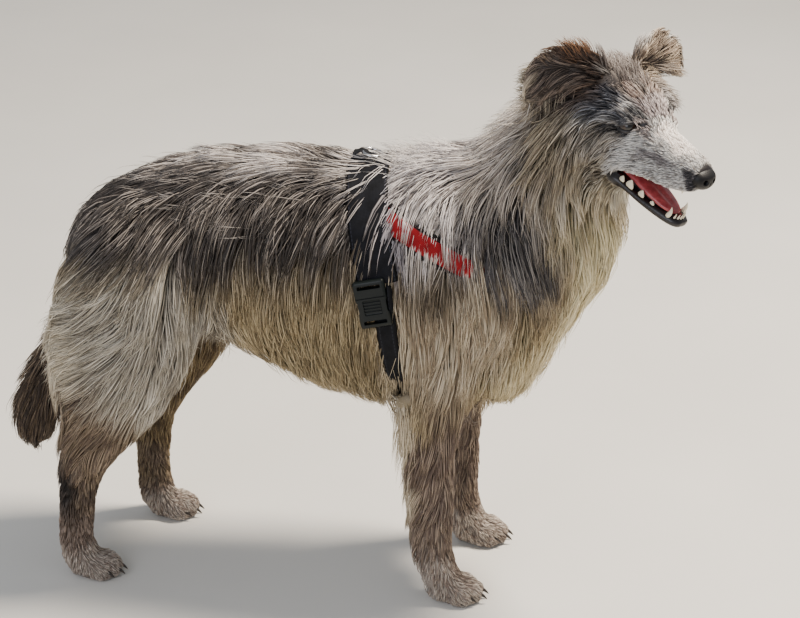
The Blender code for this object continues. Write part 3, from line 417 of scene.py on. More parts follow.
HEAD_BOTH = [
    (72, 9, -17, -1, 0.25, 0.1, 4.5, 1.4, 1.5, 1, 1),  # bridge, from the nose back
    (50, 10, -9, -1, 0.2, 0.1, 6, 1.8, 1.6, 1.1, 1),
    (25, 10, 2, -1, 0.25, 0.25, 7, 2, 1.7, 1.2, 1),
    (70, 18, -34, -1, 0.15, -0.35, 5, 1.4, 1.5, 1, 1),  # whisker bed
    (50, 24, -36, -1, 0.15, -0.3, 7, 1.8, 1.6, 1.1, 1),
    (25, 27, -32, -1, 0.2, -0.2, 9, 2.2, 1.7, 1.2, 1),
    (5, 31, -36, -0.95, 0.2, -0.25, 13, 3, 1.9, 1.3, 1),
    (60, 12, -88, -0.8, 0.1, -0.6, 8, 2, 1.7, 1.1, 0.9),  # chin
    (35, 16, -88, -0.95, 0.05, -0.3, 9, 2.2, 1.8, 1.2, 1),
    (10, 18, -85, -0.95, 0.05, -0.35, 13, 3.5, 2.1, 1.4, 0.9),
    (-20, 22, -78, -0.8, 0.1, -0.6, 26, 8, 2.6, 1.8, 0.8),
    (-55, 22, -78, -0.5, 0.15, -0.9, 62, 20, 2.8, 1.32, 0.8),  # throat
    (-10, 34, -46, -1, 0.2, 0.05, 8, 2.5, 1.8, 1.2, 1),  # above the mouth's corner
    (-24, 40, -50, -1, 0.2, 0.1, 10, 4, 2, 1.3, 1),  # behind it
    (-12, 30, -66, -0.85, 0.1, -0.55, 9, 3.5, 2, 1.3, 1),  # below it
    (8, 6, 10, -0.8, 0.2, 0.6, 7, 2, 1.7, 1.2, 1),  # stop
    (-18, 10, 34, -0.85, 0.25, 0.4, 13, 3.5, 2, 1.4, 0.9),  # forehead
    (-45, 14, 48, -0.9, 0.3, 0.2, 22, 6, 2.3, 1.6, 0.8),
    (-82, 14, 50, -0.95, 0.2, -0.2, 41, 11, 2.8, 1.5, 0.8),  # back of the skull
    (-4, 26, 19, -0.7, 0.5, 0.35, 9, 2.6, 1.7, 1.2, 0.9),  # brow
    (-34, 42, 14, -0.95, 0.25, 0.1, 18, 5, 2.1, 1.5, 0.9),  # temple
    (2, 34, -14, -0.95, 0.3, -0.2, 8, 2.2, 1.7, 1.1, 1),  # under the eye
    (-32, 46, -22, -0.75, 0.1, -0.6, 22, 7, 2.4, 1.7, 0.9),  # cheek
    (-66, 50, -30, -0.35, 0.05, -1, 60, 16, 2.7, 1.19, 0.9),
    (-74, 44, 15, -0.4, 0.15, -1, 48, 13, 2.7, 1.35, 0.9),  # below the ear
]
HEAD_ONE = [
    (-55, -44, 72, -0.5, -0.4, 0.75, 39, 3.5, 2.4, 1.1, 0.2),  # right ear's upper edge
    (-76, -66, 66, -0.8, -0.4, 0.45, 38, 3.5, 2.4, 1.1, 0.15),
    (-55, -56, 45, -0.6, -0.6, -0.45, 22, 3, 2.2, 1.5, 0.9),  # its face
    (-80, -80, 35, -0.3, -0.3, -0.9, 22, 3, 2.2, 1.5, 0.8),
    (-92, -72, 30, -0.95, -0.3, 0.05, 34, 3, 2.3, 1.1, 0.15),  # its back
    (-70, -48, 45, -0.8, -0.3, -0.4, 34, 3, 2.3, 1.1, 0.5),
    (-46, 45, 72, -0.25, 0.25, 0.9, 39, 3.5, 2.3, 1, 0.2),  # left ear's upper edge
    (-42, 66, 62, -0.1, 0.7, 0.6, 37, 3.5, 2.3, 1, 0.2),
    (-36, 54, 52, 0.1, 0.7, 0.3, 20, 3, 2.1, 1.4, 0.7),  # its inside
    (-34, 74, 36, 0.1, 0.7, -0.6, 34, 3, 2.1, 1.4, 0.2),
    (-54, 54, 50, -0.5, 0.6, 0.1, 22, 3, 2.3, 1.5, 0.8),  # its back
    (-44, 48, 30, 0.2, 0.7, -0.5, 34, 3.5, 2.3, 1.5, 0.15),
    (-50, 36, 46, -0.3, 0.7, 0.5, 18, 3, 2.2, 1.4, 0.8),  # its base
    (-20, 38, 24, 0.2, 0.8, 0.2, 26, 4.5, 2.1, 1.2, 0.2),  # left temple's fluff
    (-4, 31, 20, 0.25, 0.75, 0.35, 17, 3.5, 1.9, 1.1, 0.3),
    (-50, -38, 50, -0.5, -0.6, 0.5, 18, 3, 2.2, 1.4, 0.8),  # the right ear's base
]
LONG, DEEP, SPACING, WIDE, CLING = range(6, 11)  # columns of the map
BODY_REACH, LEG_REACH, HEAD_REACH = 0.034, 0.02, 0.0125  # how far a row's influence goes
LEG_TOP = 0.215  # below this, the body's rows are leg rows


def both_sides(rows):
    flip = np.array([1, -1, 1, 1, -1, 1, 1, 1, 1, 1, 1])
    return np.vstack([rows, np.array(rows) * flip])


def coat_map():
    """All rows in metres in the row's frame, with unit directions and each row's reach."""
    body = np.vstack([both_sides(BODY_BOTH), BODY_ONE]).astype(float)
    head = np.vstack([both_sides(HEAD_BOTH), HEAD_ONE]).astype(float)
    for rows in (body, head):
        rows[:, [0, 1, 2, LONG, DEEP, SPACING, WIDE]] *= MM
    reach = np.where(body[:, 2] < LEG_TOP, LEG_REACH, BODY_REACH)
    body[:, :3] += BODY_AT
    head[:, :3] = from_head(head[:, :3])
    head[:, 3:6] = head[:, 3:6] @ HEAD_AXES.T
    rows = np.vstack([body, head])
    rows[:, 3:6] = unit(rows[:, 3:6])
    return rows, np.concatenate([reach, np.full(len(head), HEAD_REACH)])


COAT, REACH = coat_map()


def combed(places):
    """The blended rows of the map, from column 3 on, at each place."""
    made = []
    for part in np.array_split(np.asarray(places, float), len(places) // 20000 + 1):
        gap = ((part[:, None, :] - COAT[None, :, :3]) ** 2).sum(axis=2) / (2 * REACH**2)
        share = np.exp(gap.min(axis=1, keepdims=True) - gap)
        share /= share.sum(axis=1, keepdims=True)
        made.append(share @ COAT[:, 3:])
    return np.vstack(made)


print("rows in the map of the coat:", len(COAT))

# %% [markdown]
# ## The outline of the coat
#
# The solids of the body are parted by thin cuts and their faces are coarse. Grown by half a
# millimetre they overlap, and a voxel remesh fuses them into one closed surface, which is then
# smoothed. The head gets new, finer lofts, because the muzzle and the brow are too small for
# coarse faces. The harness is let in as well, so that its groove is filled and the hair that
# falls over a strap has a surface to lie on.

# %% Lofts and balls
RING_SIDES = 32


def smooth_between(rows, steps):
    """Catmull-Rom rows between the given rows of numbers."""
    rows = np.array(rows, float)
    ends = np.vstack([rows[:1], rows, rows[-1:]])
    made = []
    for a, b, c, d in zip(ends, ends[1:], ends[2:], ends[3:]):
        for t in np.arange(steps) / steps:
            bent = (2 * a - 5 * b + 4 * c - d) * t**2 + (3 * b - a - 3 * c + d) * t**3
            made.append(0.5 * (2 * b + (c - a) * t + bent))
    return np.array([*made, rows[-1]])


def in_mm(rows, midline=True):
    """Stations in mm as metres. Those on the midline are given without their y."""
    rows = np.array(rows) / 1000
    return np.insert(rows, 1, 0.0, axis=1) if midline else rows


def loft(stations, side=(0, 1, 0), steps=4, squareness=1.0, under=None, sides=RING_SIDES):
    """Points and faces through stations (x, y, z, half width, reach up, reach down)."""
    under = squareness if under is None else under
    rows = smooth_between(stations, steps)
    angle = 2 * np.pi * np.arange(sides) / sides
    power = np.where(np.sin(angle) > 0, squareness, under)
    cos = np.sign(np.cos(angle)) * np.abs(np.cos(angle)) ** power
    sin = np.sign(np.sin(angle)) * np.abs(np.sin(angle)) ** power
    ahead = unit(np.gradient(rows[:, :3], axis=0))
    side = np.array(side, float)
    across = unit(side - ahead * (ahead @ side)[:, None])
    rise = np.cross(ahead, across)
    reach = np.where(sin > 0, rows[:, 4:5], rows[:, 5:6]) * sin
    rings = (
        rows[:, None, :3]
        + across[:, None] * (rows[:, 3:4] * cos)[..., None]
        + rise[:, None] * reach[..., None]
    )
    return rings.reshape(-1, 3), tube_faces(len(rows), sides)


def tube_faces(rows, sides):
    """Quads round a tube of so many rows, and one face over each of its ends."""
    faces = []
    for row in range(rows - 1):
        for i in range(sides):
            j = (i + 1) % sides
            low, high = row * sides, (row + 1) * sides
            faces.append((low + i, low + j, high + j, high + i))
    faces.append(tuple(range(sides))[::-1])
    faces.append(tuple((rows - 1) * sides + i for i in range(sides)))
    return faces


def ball(place, radii, turn=None):
    """Points and faces of an ellipsoid. The columns of `turn` are its axes."""
    body = bmesh.new()
    bmesh.ops.create_uvsphere(body, u_segments=28, v_segments=18, radius=1.0)
    points = np.array([vertex.co for vertex in body.verts]) * radii
    faces = [tuple(vertex.index for vertex in face.verts) for face in body.faces]
    body.free()
    if turn is not None:
        points = points @ np.array(turn).T
    return points + place, faces


def bmesh_of(points, faces):
    body = bmesh.new()
    corners = [body.verts.new(point) for point in points]
    for face in faces:
        body.faces.new([corners[i] for i in face])
    bmesh.ops.recalc_face_normals(body, faces=body.faces)
    return body


def joined(name, bodies):
    """One object from several closed bmeshes."""
    whole, spare = bmesh.new(), bpy.data.meshes.new("spare")
    for body in bodies:
        body.to_mesh(spare)
        whole.from_mesh(spare)
        body.free()
    mesh = bpy.data.meshes.new(name)
    whole.to_mesh(mesh)
    whole.free()
    bpy.data.meshes.remove(spare)
    return object_of(name, mesh)


def cad_body(node, growth=0.0):
    """A merged copy of one of the frame's solids, grown along its normals."""
    body = bmesh.new()
    body.from_mesh(frame["nodes"][node].data)
    bmesh.ops.remove_doubles(body, verts=body.verts, dist=1e-5)
    body.normal_update()
    for vertex in body.verts:
        vertex.co += vertex.normal * growth
    return body


# %% [markdown]
# The lower jaw is laid out closed, as the muzzle is, and then swung open about its hinge.

# %% The head's lofts
JAW_OPEN = math.radians(20)
JAW_HINGE = np.array([-0.042, 0.0, -0.034])
JAW_TURN = np.array(Matrix.Rotation(JAW_OPEN, 3, "Y"))

# in mm of head coordinates: x, z, half width, reach up, reach down
SKULL = [
    (-118, -4, 20, 20, 30),
    (-104, 0, 42, 34, 45),
    (-75, 0, 53, 45, 50),
    (-42, 0, 53.5, 47, 50),
    (-18, 0, 45, 38.5, 46),
    (2, -3, 35.5, 26, 40),
    (16, -8, 29, 17, 34),
]
MUZZLE = [
    (-34, -14, 38.5, 30, 33),
    (-12, -17, 34.5, 26, 35),
    (8, -19, 30.5, 23.5, 32),
    (26, -21, 26.8, 20.5, 31),
    (48, -25, 24, 17.5, 28.5),
    (66, -29, 20.8, 16.5, 21.5),
    (76.5, -31, 16.5, 13.5, 16),
    (82, -32, 11.5, 9, 11.5),
]
JAW = [
    (-70, -43, 32, 10, 16),
    (-40, -47, 32, 10, 16),
    (-10, -50, 29, 9, 14.5),
    (20, -51.5, 24.5, 8, 11.5),
    (50, -51.5, 18.5, 7.5, 9),
    (66, -50.8, 14.5, 7, 7.8),
    (74.5, -50.5, 8.5, 5, 5.5),
]
UPPER_HOLLOW = [
    (-36, -49, 12, 4, 4),
    (-10, -52, 22.5, 9, 6),
    (20, -53, 20.5, 11, 7),
    (46, -54, 17, 10.5, 7),
    (62, -52, 13, 7.5, 7),
    (70, -50, 6, 3.5, 4),
]
LOWER_HOLLOW = [
    (-50, -34, 14, 6, 6),
    (-10, -36, 22, 8, 12),
    (20, -37, 18.5, 8, 13.5),
    (46, -37, 13.5, 8, 14),
    (61, -37, 9, 8, 13),
    (66, -37, 4.5, 6, 9),
]
BROW, BROW_RADII = (-0.016, 0.026, 0.013), (0.02, 0.0135, 0.0105)
CHEEK, CHEEK_RADII = (-0.05, 0.034, -0.026), (0.034, 0.024, 0.027)
ORBIT_RADII, ORBIT_BACK = (0.015, 0.0225, 0.0175), 0.0045
EYE_RADIUS = 0.0104  # of the eyeball, in head coordinates
EYE_FLESH = 0.0036  # round it
LID_ZONE = 0.0085  # the lids' part of the skin goes this far from the opening
LID_SLANT = math.radians(-12)
EYES = {"left": EYE_PLACE, "right": EYE_PLACE * (1, -1, 1)}


def eye_axes(side):
    """Unit axes of an eye in head coordinates: out of the opening, towards the nose, up."""
    sign = 1 if side == "left" else -1
    out = unit(np.array([0.72, 0.69 * sign, 0.05]))
    inner = unit(np.cross(out, [0, 0, 1.0])) * sign
    rise = unit(np.cross(inner, out))
    rise *= np.sign(rise[2])
    turned = inner * math.cos(LID_SLANT) - rise * math.sin(LID_SLANT)
    return np.stack([out, turned, rise * math.cos(LID_SLANT) + inner * math.sin(LID_SLANT)])


def orbit(side):
    """The low mound of brow and cheekbone that an eyeball sits in."""
    axes = eye_axes(side)
    return ball(EYES[side] - axes[0] * ORBIT_BACK, ORBIT_RADII, axes.T)


def opened(places):
    """Lower jaw places, laid out closed, swung open."""
    return (np.asarray(places, float) - JAW_HINGE) @ JAW_TURN.T + JAW_HINGE


def both(place):
    """A place on the left and its twin on the right."""
    return [np.array(place) * (1, sign, 1) for sign in (1, -1)]


def head_shapes():
    """The closed shapes that make the face, in the row's frame."""
    shapes = [
        loft(in_mm(SKULL), squareness=0.92),
        loft(in_mm(MUZZLE), squareness=0.85, under=0.55),
        *(ball(place, BROW_RADII) for place in both(BROW)),
        *(ball(place, [EYE_RADIUS + EYE_FLESH] * 3) for place in both(EYE_PLACE)),
        *(orbit(side) for side in EYES),
        *(ball(place, CHEEK_RADII) for place in both(CHEEK)),
    ]
    points, faces = loft(in_mm(JAW), squareness=0.7)
    shapes.append((opened(points), faces))
    return [bmesh_of(from_head(points), faces) for points, faces in shapes]


# %% [markdown]
# Each solid is grown a little and all are merged. From the brow forward, the solids of the
# head give way to the finer lofts.


# %% Fuse the outline
TRUNK_NODES = ["barrel", "chest", "neck", "rump", "tail"]
LIMB_NODES = [
    f"{name}_{side}"
    for name in ("thigh", "lower_hind_leg", "fore_leg", "fore_paw", "hind_paw")
    for side in ("left", "right")
]
HEAD_NODES = ["head", "lower_jaw", "ear_left", "ear_right"]
FLESH = TRUNK_NODES + LIMB_NODES + HEAD_NODES
STRAPS = ["harness_saddle", "harness_girth", "harness_chest_band"]
OVERLAP = 0.0005
GROOVE_FILL = 0.0036
FACE_CUT = -0.018  # ahead of this, in head coordinates, the new lofts stand for the solids
FACE_SINK = 0.0014  # and up to it the coarse faces sink under them


def behind_face(node):
    """The part of a head solid that is behind the face, closed again."""
    body = cad_body(node)
    for vertex in body.verts:
        local = to_head(vertex.co)
        sink = FACE_SINK if local[0] > -0.075 and local[2] > -0.075 else -OVERLAP
        vertex.co -= vertex.normal * sink
    cut = from_head([[FACE_CUT, 0, 0]])[0]
    everything = body.verts[:] + body.edges[:] + body.faces[:]
    bmesh.ops.bisect_plane(
        body, geom=everything, plane_co=cut, plane_no=HEAD_AXES[:, 0], clear_outer=True
    )
    bmesh.ops.holes_fill(body, edges=[edge for edge in body.edges if edge.is_boundary])
    return body


outline = joined(
    "outline",
    [cad_body(node, OVERLAP) for node in TRUNK_NODES + LIMB_NODES]
    + [cad_body(node, GROOVE_FILL) for node in STRAPS]
    + [behind_face(node) for node in ("head", "lower_jaw")]
    + head_shapes(),
)
ear_outline = joined("ear_outline", [cad_body(node) for node in ("ear_left", "ear_right")])
OUTLINE_VOXEL = 0.0022
modify(outline, "REMESH", mode="VOXEL", voxel_size=OUTLINE_VOXEL, adaptivity=0.0)


def face_share(places):
    """1 on the face and ears, 0 on the body, in head coordinates."""
    local = to_head(places)
    return ease(local[:, 0], -0.105, -0.085) * ease(local[:, 2], -0.11, -0.098)


PAW_TOP = (0.045, 0.075)  # the paws' finer shape fades out over these heights


def soften_outline():
    """Smooths away the solids' facets: much on the trunk, little on paws and face."""
    mesh = outline.data
    edges, places = edges_of(mesh), places_of(mesh)
    gentle = smoothed(places, edges, 8)
    strong = smoothed(gentle, edges, 45)
    fine = np.maximum(face_share(places), 1 - ease(places[:, 2], *PAW_TOP))
    fine = smoothed(fine, edges, 6)[:, None]
    set_places(mesh, gentle * fine + strong * (1 - fine))


soften_outline()
modify(ear_outline, "SUBSURF", levels=2, render_levels=2)
print("outline:", len(outline.data.vertices), "points")

# %% [markdown]
# ## The skin
#
# The skin is the outline moved inwards by the depth of the coat, which the map gives: three
# centimetres under the ruff, a millimetre or two on the muzzle. Where the body is thin, as in
# the ears and the tail, it goes at most a third of the way through. The move is made in small
# steps, each along fresh normals, so that the surface doesn't fold over itself.

# %% Shrink the outline to the skin
MOST_SHARE = 0.34  # of the body's thickness


def thickness(mesh, places, normals):
    """How far it is through the body, inwards from each point."""
    tree = BVHTree.FromPolygons(places.tolist(), triangles_of(mesh).tolist())
    found = np.full(len(places), 0.2)
    for i, (place, normal) in enumerate(zip(places, normals)):
        hit = tree.ray_cast(place - normal * 0.0006, -normal)
        if hit[0] is not None:
            found[i] = hit[3]
    return found


def shrunk(mesh):
    """Moves the mesh inwards, and returns the depth that each point went."""
    edges, start = edges_of(mesh), places_of(mesh)
    through = smoothed(thickness(mesh, start, normals_of(mesh)), edges, 3)
    depth = np.minimum(combed(start)[:, DEEP - 3], through * MOST_SHARE)
    depth = smoothed(depth, edges, 24)
    steps = 8
    places = start
    for _ in range(steps):
        places = places - smoothed(normals_of(mesh), edges, 4) * (depth / steps)[:, None]
        drift = smoothed(places - start, edges, 2)
        places = start + drift
        set_places(mesh, places)
    return depth


skin = object_of("skin", outline.data.copy())
coat_depth = shrunk(skin.data)
print("coat depth, mm:", (np.percentile(coat_depth, [0, 10, 50, 90, 100]) * 1000).round(1))

# %% [markdown]
# The ears are too thin to shrink. Each gets a new flap of gristle and skin through the middle
# of its furry solid: the right one is held back with its outer third fallen over, and the left
# one is pricked and turned out sideways.

# %% Ear flaps, and one surface of it all
# in mm of head coordinates: x, y, z, half width, reach up, reach down
RIGHT_EAR = [
    (-34, -20, 30, 5, 12, 12),
    (-44, -30, 40, 4, 15, 16),
    (-56, -46, 50, 3, 18.5, 18.5),
    (-69, -59, 48, 2.5, 19, 21),
    (-81, -71, 39, 2.2, 17.5, 20.5),
    (-86, -76, 25, 2.1, 12, 13),
    (-88, -78, 15, 2, 5, 5),
]
LEFT_EAR = [
    (-48, 18, 23, 5, 12, 12),
    (-48, 28, 33, 4, 16, 16),
    (-47, 40, 48, 3, 18, 18),
    (-44, 51, 54, 2.5, 18.5, 18.5),
    (-40, 62, 51, 2.2, 17, 16.5),
    (-36, 69, 42, 2.1, 12, 11),
    (-34, 72, 33, 2, 5, 4.5),
]


def ear_flap(stations, side):
    points, faces = loft(in_mm(stations, midline=False), side=side, squareness=0.45)
    return bmesh_of(from_head(points), faces)


flaps = [ear_flap(RIGHT_EAR, (0.72, -0.7, 0.0)), ear_flap(LEFT_EAR, (1.0, 0.1, 0.15))]
flap_skin = joined("flaps", flaps)
select(skin, flap_skin)
bpy.ops.object.join()
SKIN_VOXEL = 0.0017
modify(skin, "REMESH", mode="VOXEL", voxel_size=SKIN_VOXEL, adaptivity=0.0)
set_places(skin.data, smoothed(places_of(skin.data), edges_of(skin.data), 2))
print("skin:", len(skin.data.vertices), "points")

# %% [markdown]
# The body doesn't need so fine a mesh under its coat. A vertex group tells the Decimate
# modifier to spare the face, and then the skin round the eyes is divided twice more, so that
# the lids can have a crisp edge.

# %% Thin the body's mesh and refine it round the eyes
BODY_KEEP = 0.16  # share of triangles kept


def thin_body():
    places = places_of(skin.data)
    spare = skin.vertex_groups.new(name="thin")
    face = face_share(places)
    for level in np.unique(np.round(1 - face, 1)):
        chosen = np.flatnonzero(np.round(1 - face, 1) == level)
        spare.add(chosen.tolist(), float(level), "REPLACE")
    modify(
        skin, "DECIMATE", ratio=BODY_KEEP, vertex_group="thin", vertex_group_factor=1.0,
        use_collapse_triangulate=True,
    )
    skin.vertex_groups.clear()


def refine_eyes():
    body = bmesh.new()
    body.from_mesh(skin.data)
    for reach in (0.0205, 0.0185):
        body.edges.ensure_lookup_table()
        starts = to_head([edge.verts[0].co for edge in body.edges])
        chosen = np.zeros(len(starts), bool)
        for side, place in EYES.items():
            gap = starts - place
            front = gap @ eye_axes(side)[0] > 0
            chosen |= front & (np.linalg.norm(gap, axis=1) < reach)
        near = [body.edges[i] for i in np.flatnonzero(chosen)]
        bmesh.ops.subdivide_edges(body, edges=near, cuts=1, use_grid_fill=True, smooth=0.0)
        bmesh.ops.triangulate(body, faces=[face for face in body.faces if len(face.verts) > 3])
    body.to_mesh(skin.data)
    body.free()


thin_body()
refine_eyes()
print("skin:", len(skin.data.vertices), "points,", len(skin.data.polygons), "triangles")

# %% [markdown]
# ## Lids
#
# The lids are the skin itself, drawn over the eyeball. Each point near an eye is sorted by
# where it lies against an almond on the ball: inside the almond it sinks behind the eyeball,
# and outside it is laid a lid's thickness over it, and fades into the face. The dog looks into
# the light, so the upper lid is low.

# %% Draw the lids over the eyeballs
HALF_SLIT, UPPER_LID, LOWER_LID = 0.0112, 0.0025, 0.003
LID_THICK, BEHIND = 0.0012, 0.0016


def slit_distance(local, side):
    """Distance outside the almond, along the ball, and the direction from its middle."""
    out, inner, rise = eye_axes(side)
    away = local - EYES[side]
    ray = unit(away)
    across = EYE_RADIUS * np.arctan2(ray @ inner, ray @ out)
    above = EYE_RADIUS * np.arctan2(ray @ rise, ray @ out)
    share = np.clip(np.abs(across) / HALF_SLIT, 0, 1)
    lid = np.where(above > 0, UPPER_LID, LOWER_LID) * (1 - share**2) ** 0.75
    beyond = np.maximum(np.abs(across) - HALF_SLIT, 0)
    gap = np.where(beyond > 0, np.hypot(beyond, above), np.abs(above) - lid)
    return gap, ray


def draw_lids(local):
    for side, place in EYES.items():
        near = np.flatnonzero(np.linalg.norm(local - place, axis=1) < EYE_RADIUS + LID_ZONE)
        gap, ray = slit_distance(local[near], side)
        front = ray @ eye_axes(side)[0] > 0.0
        near, gap, ray = near[front], gap[front], ray[front]
        rim = EYE_RADIUS + LID_THICK + 0.0006 * ease(gap, 0.0, 0.0012)
        height = np.where(gap < 0, EYE_RADIUS - BEHIND, rim)
        share = 1 - ease(gap, 0.0022, LID_ZONE - 0.001)
        target = place + ray * height[:, None]
        local[near] += (target - local[near]) * share[:, None]
        reach = np.linalg.norm(local[near] - place, axis=1)
        least = np.where(gap < 0, 0, EYE_RADIUS + LID_THICK)
        local[near] = place + ray * np.maximum(reach, least)[:, None]
    return local


set_places(skin.data, from_head(draw_lids(to_head(places_of(skin.data)))))

# %% [markdown]
# The open mouth is cut out of the skin by two lofts, one that belongs to each jaw. The walls
# of the hollow keep a slot of their own, for the lining's finish.


# %% Hollow out the mouth
skin_finish, skin_tree, skin_shader = finish_named("skin")
lining_finish, lining_tree, lining_shader = finish_named("mouth_lining", Roughness=0.32)


def cut_mouth(points, faces):
    """Cuts a hollow out of the skin. Its wall keeps the lining's slot."""
    cutter = joined("hollow", [bmesh_of(from_head(points), faces)])
    for finish in (skin_finish, lining_finish):
        cutter.data.materials.append(finish)
    cutter.data.polygons.foreach_set("material_index", [1] * len(cutter.data.polygons))
    modify(skin, "BOOLEAN", object=cutter, operation="DIFFERENCE", solver="EXACT")
    bpy.data.objects.remove(cutter)


upper_points, upper_faces = loft(in_mm(UPPER_HOLLOW), squareness=0.85)
lower_points, lower_faces = loft(in_mm(LOWER_HOLLOW))
for finish in (skin_finish, lining_finish):
    skin.data.materials.append(finish)
cut_mouth(upper_points, upper_faces)
cut_mouth(opened(lower_points), lower_faces)
skin.data.shade_smooth()
print("skin with its mouth:", len(skin.data.vertices), "points")

# %% [markdown]
# ## A flat map of the skin
#
# Each tuft takes its place on the skin's own unwrap as its place in the coat's texture. Smart
# UV Project cuts the skin along its turns and lays the pieces side by side.

# %% Unwrap the skin
def unwrap(thing, name):
    thing.data.uv_layers.new(name=name)
    select(thing)
    bpy.ops.object.mode_set(mode="EDIT")
    bpy.ops.mesh.select_all(action="SELECT")
    bpy.ops.uv.smart_project(angle_limit=math.radians(66), island_margin=0.002)
    bpy.ops.object.mode_set(mode="OBJECT")


unwrap(skin, "OFBake")
skin_places, skin_facing = places_of(skin.data), normals_of(skin.data)
skin_faces = triangles_of(skin.data)


flat = read(skin.data.uv_layers["OFBake"].uv, "vector", 2).astype(float)
skin_flat = flat[read(skin.data.loop_triangles, "loops", 3, np.int32)]
skin_slot = read(skin.data.loop_triangles, "material_index", 1, np.int32)[:, 0]
print("skin triangles:", len(skin_faces), "of them in the mouth:", int((skin_slot == 1).sum()))

# %% [markdown]
# ## Markings
#
# The coat is merle: charcoal and silver hairs mixed over the back and shoulders, tan and cream
# below, with black patches at the neck, hock and tail. The markings are a short list of soft
# ellipsoids, painted one over the other like sprayed stencils. Each gives two colours of hair
# and the share of the lighter one. Noise bends their edges, and both the skin and the coat ask
# the same function, so they always agree. A few marks are painted light and shade: the paler
# hair along the top of the back and the nape is partly a painted highlight, the olive of the
# flanks is partly a painted reflection, and the hair beside and under the harness's straps is
# darkened as painted shade.


# %% Noise and markings
def waves(places, size, seed):
    """Smooth noise of about -1 to 1: the sum of a few dozen sine waves in all directions."""
    source = np.random.default_rng(seed)
    turns = unit(source.normal(size=(24, 3))) * (2 * np.pi / size)
    turns *= source.uniform(0.6, 1.5, (24, 1))
    phase = source.uniform(0, 2 * np.pi, 24)
    return np.sin(np.asarray(places) @ turns.T + phase).sum(axis=1) / 5.0


# x, y, z in mm from the frame's middle; radii; dark hair, light hair, share of light hair
BODY_MARKS = [
    (0, 0, 280, 400, 400, 200, "#75654b", "#b8a785", 0.55),  # tan flanks and belly; their olive cast is partly a painted reflection
    (-70, 0, 520, 260, 300, 124, "#332d2b", "#aaa098", 0.34),  # charcoal back
    (-90, 100, 440, 150, 70, 23, "#282322", "#867d75", 0.27),  # dark hem of the saddle
    (-235, 0, 460, 72, 300, 70, "#2f2a29", "#8f867e", 0.3),  # rump
    (-165, 100, 440, 72, 80, 42, "#332d2b", "#a2988f", 0.3),  # above the thigh
    (-50, 0, 530, 240, 66, 34, "#6e645d", "#e0d7d0", 0.62),  # silver along the spine, partly a painted highlight on the top of the back
    (150, 0, 490, 74, 300, 95, "#6a6361", "#e4dcd8", 0.66),  # silver shoulder
    (172, 100, 350, 78, 300, 78, "#8f7d68", "#cbbea8", 0.6),  # upper arm
    (275, 80, 560, 75, 300, 95, "#65594f", "#baac97", 0.58),  # neck
    (205, 0, 590, 75, 62, 62, "#877d75", "#e2d9cf", 0.66),  # nape and withers, paler on top: partly a painted highlight
    (246, 80, 544, 42, 90, 42, "#8c837b", "#dbd1c8", 0.66),  # paler foot of the neck
    (242, 90, 462, 46, 60, 52, "#38363a", "#8a847f", 0.32),  # dark patch ahead of the band
    (108, 90, 466, 22, 70, 44, "#4a464d", "#b0a8ab", 0.45),  # painted shade, mauve, beside the saddle strap
    (146, 95, 418, 46, 70, 24, "#483e34", "#867966", 0.4),  # shade under the band
    (330, 0, 470, 64, 78, 150, "#b0a17a", "#e3d8b4", 0.66),  # ruff
    (265, 0, 300, 72, 88, 95, "#a59572", "#dccfac", 0.64),  # breast
    (-190, 110, 304, 122, 300, 92, "#827a6e", "#cbc3b4", 0.58),  # thigh
    (-248, 110, 424, 50, 70, 17, "#2b292d", "#7d7671", 0.3),  # dark line above it
    (-275, 95, 300, 38, 50, 75, "#a69a86", "#d8cdb8", 0.66),  # breeches
    (165, 75, 140, 60, 70, 130, "#62524a", "#9a8979", 0.45),  # forelegs
    (122, 72, 185, 24, 50, 80, "#a08f78", "#d2c5ad", 0.62),  # their feather
    (-320, 0, 230, 75, 70, 150, "#352c27", "#84725f", 0.38),  # tail
]
SIDE_MARKS = [
    (-225, -88, 170, 62, 50, 90, "#5c4c41", "#96846f", 0.48),  # right hind leg
    (-270, -92, 118, 30, 40, 40, "#231f1e", "#4d443f", 0.22),  # black above the hock
    (-180, 72, 175, 75, 50, 130, "#5f4f3d", "#9f8b69", 0.48),  # left hind leg
    (0, 0, 8, 500, 500, 36, "#948378", "#c4b8ac", 0.55),  # toes
]
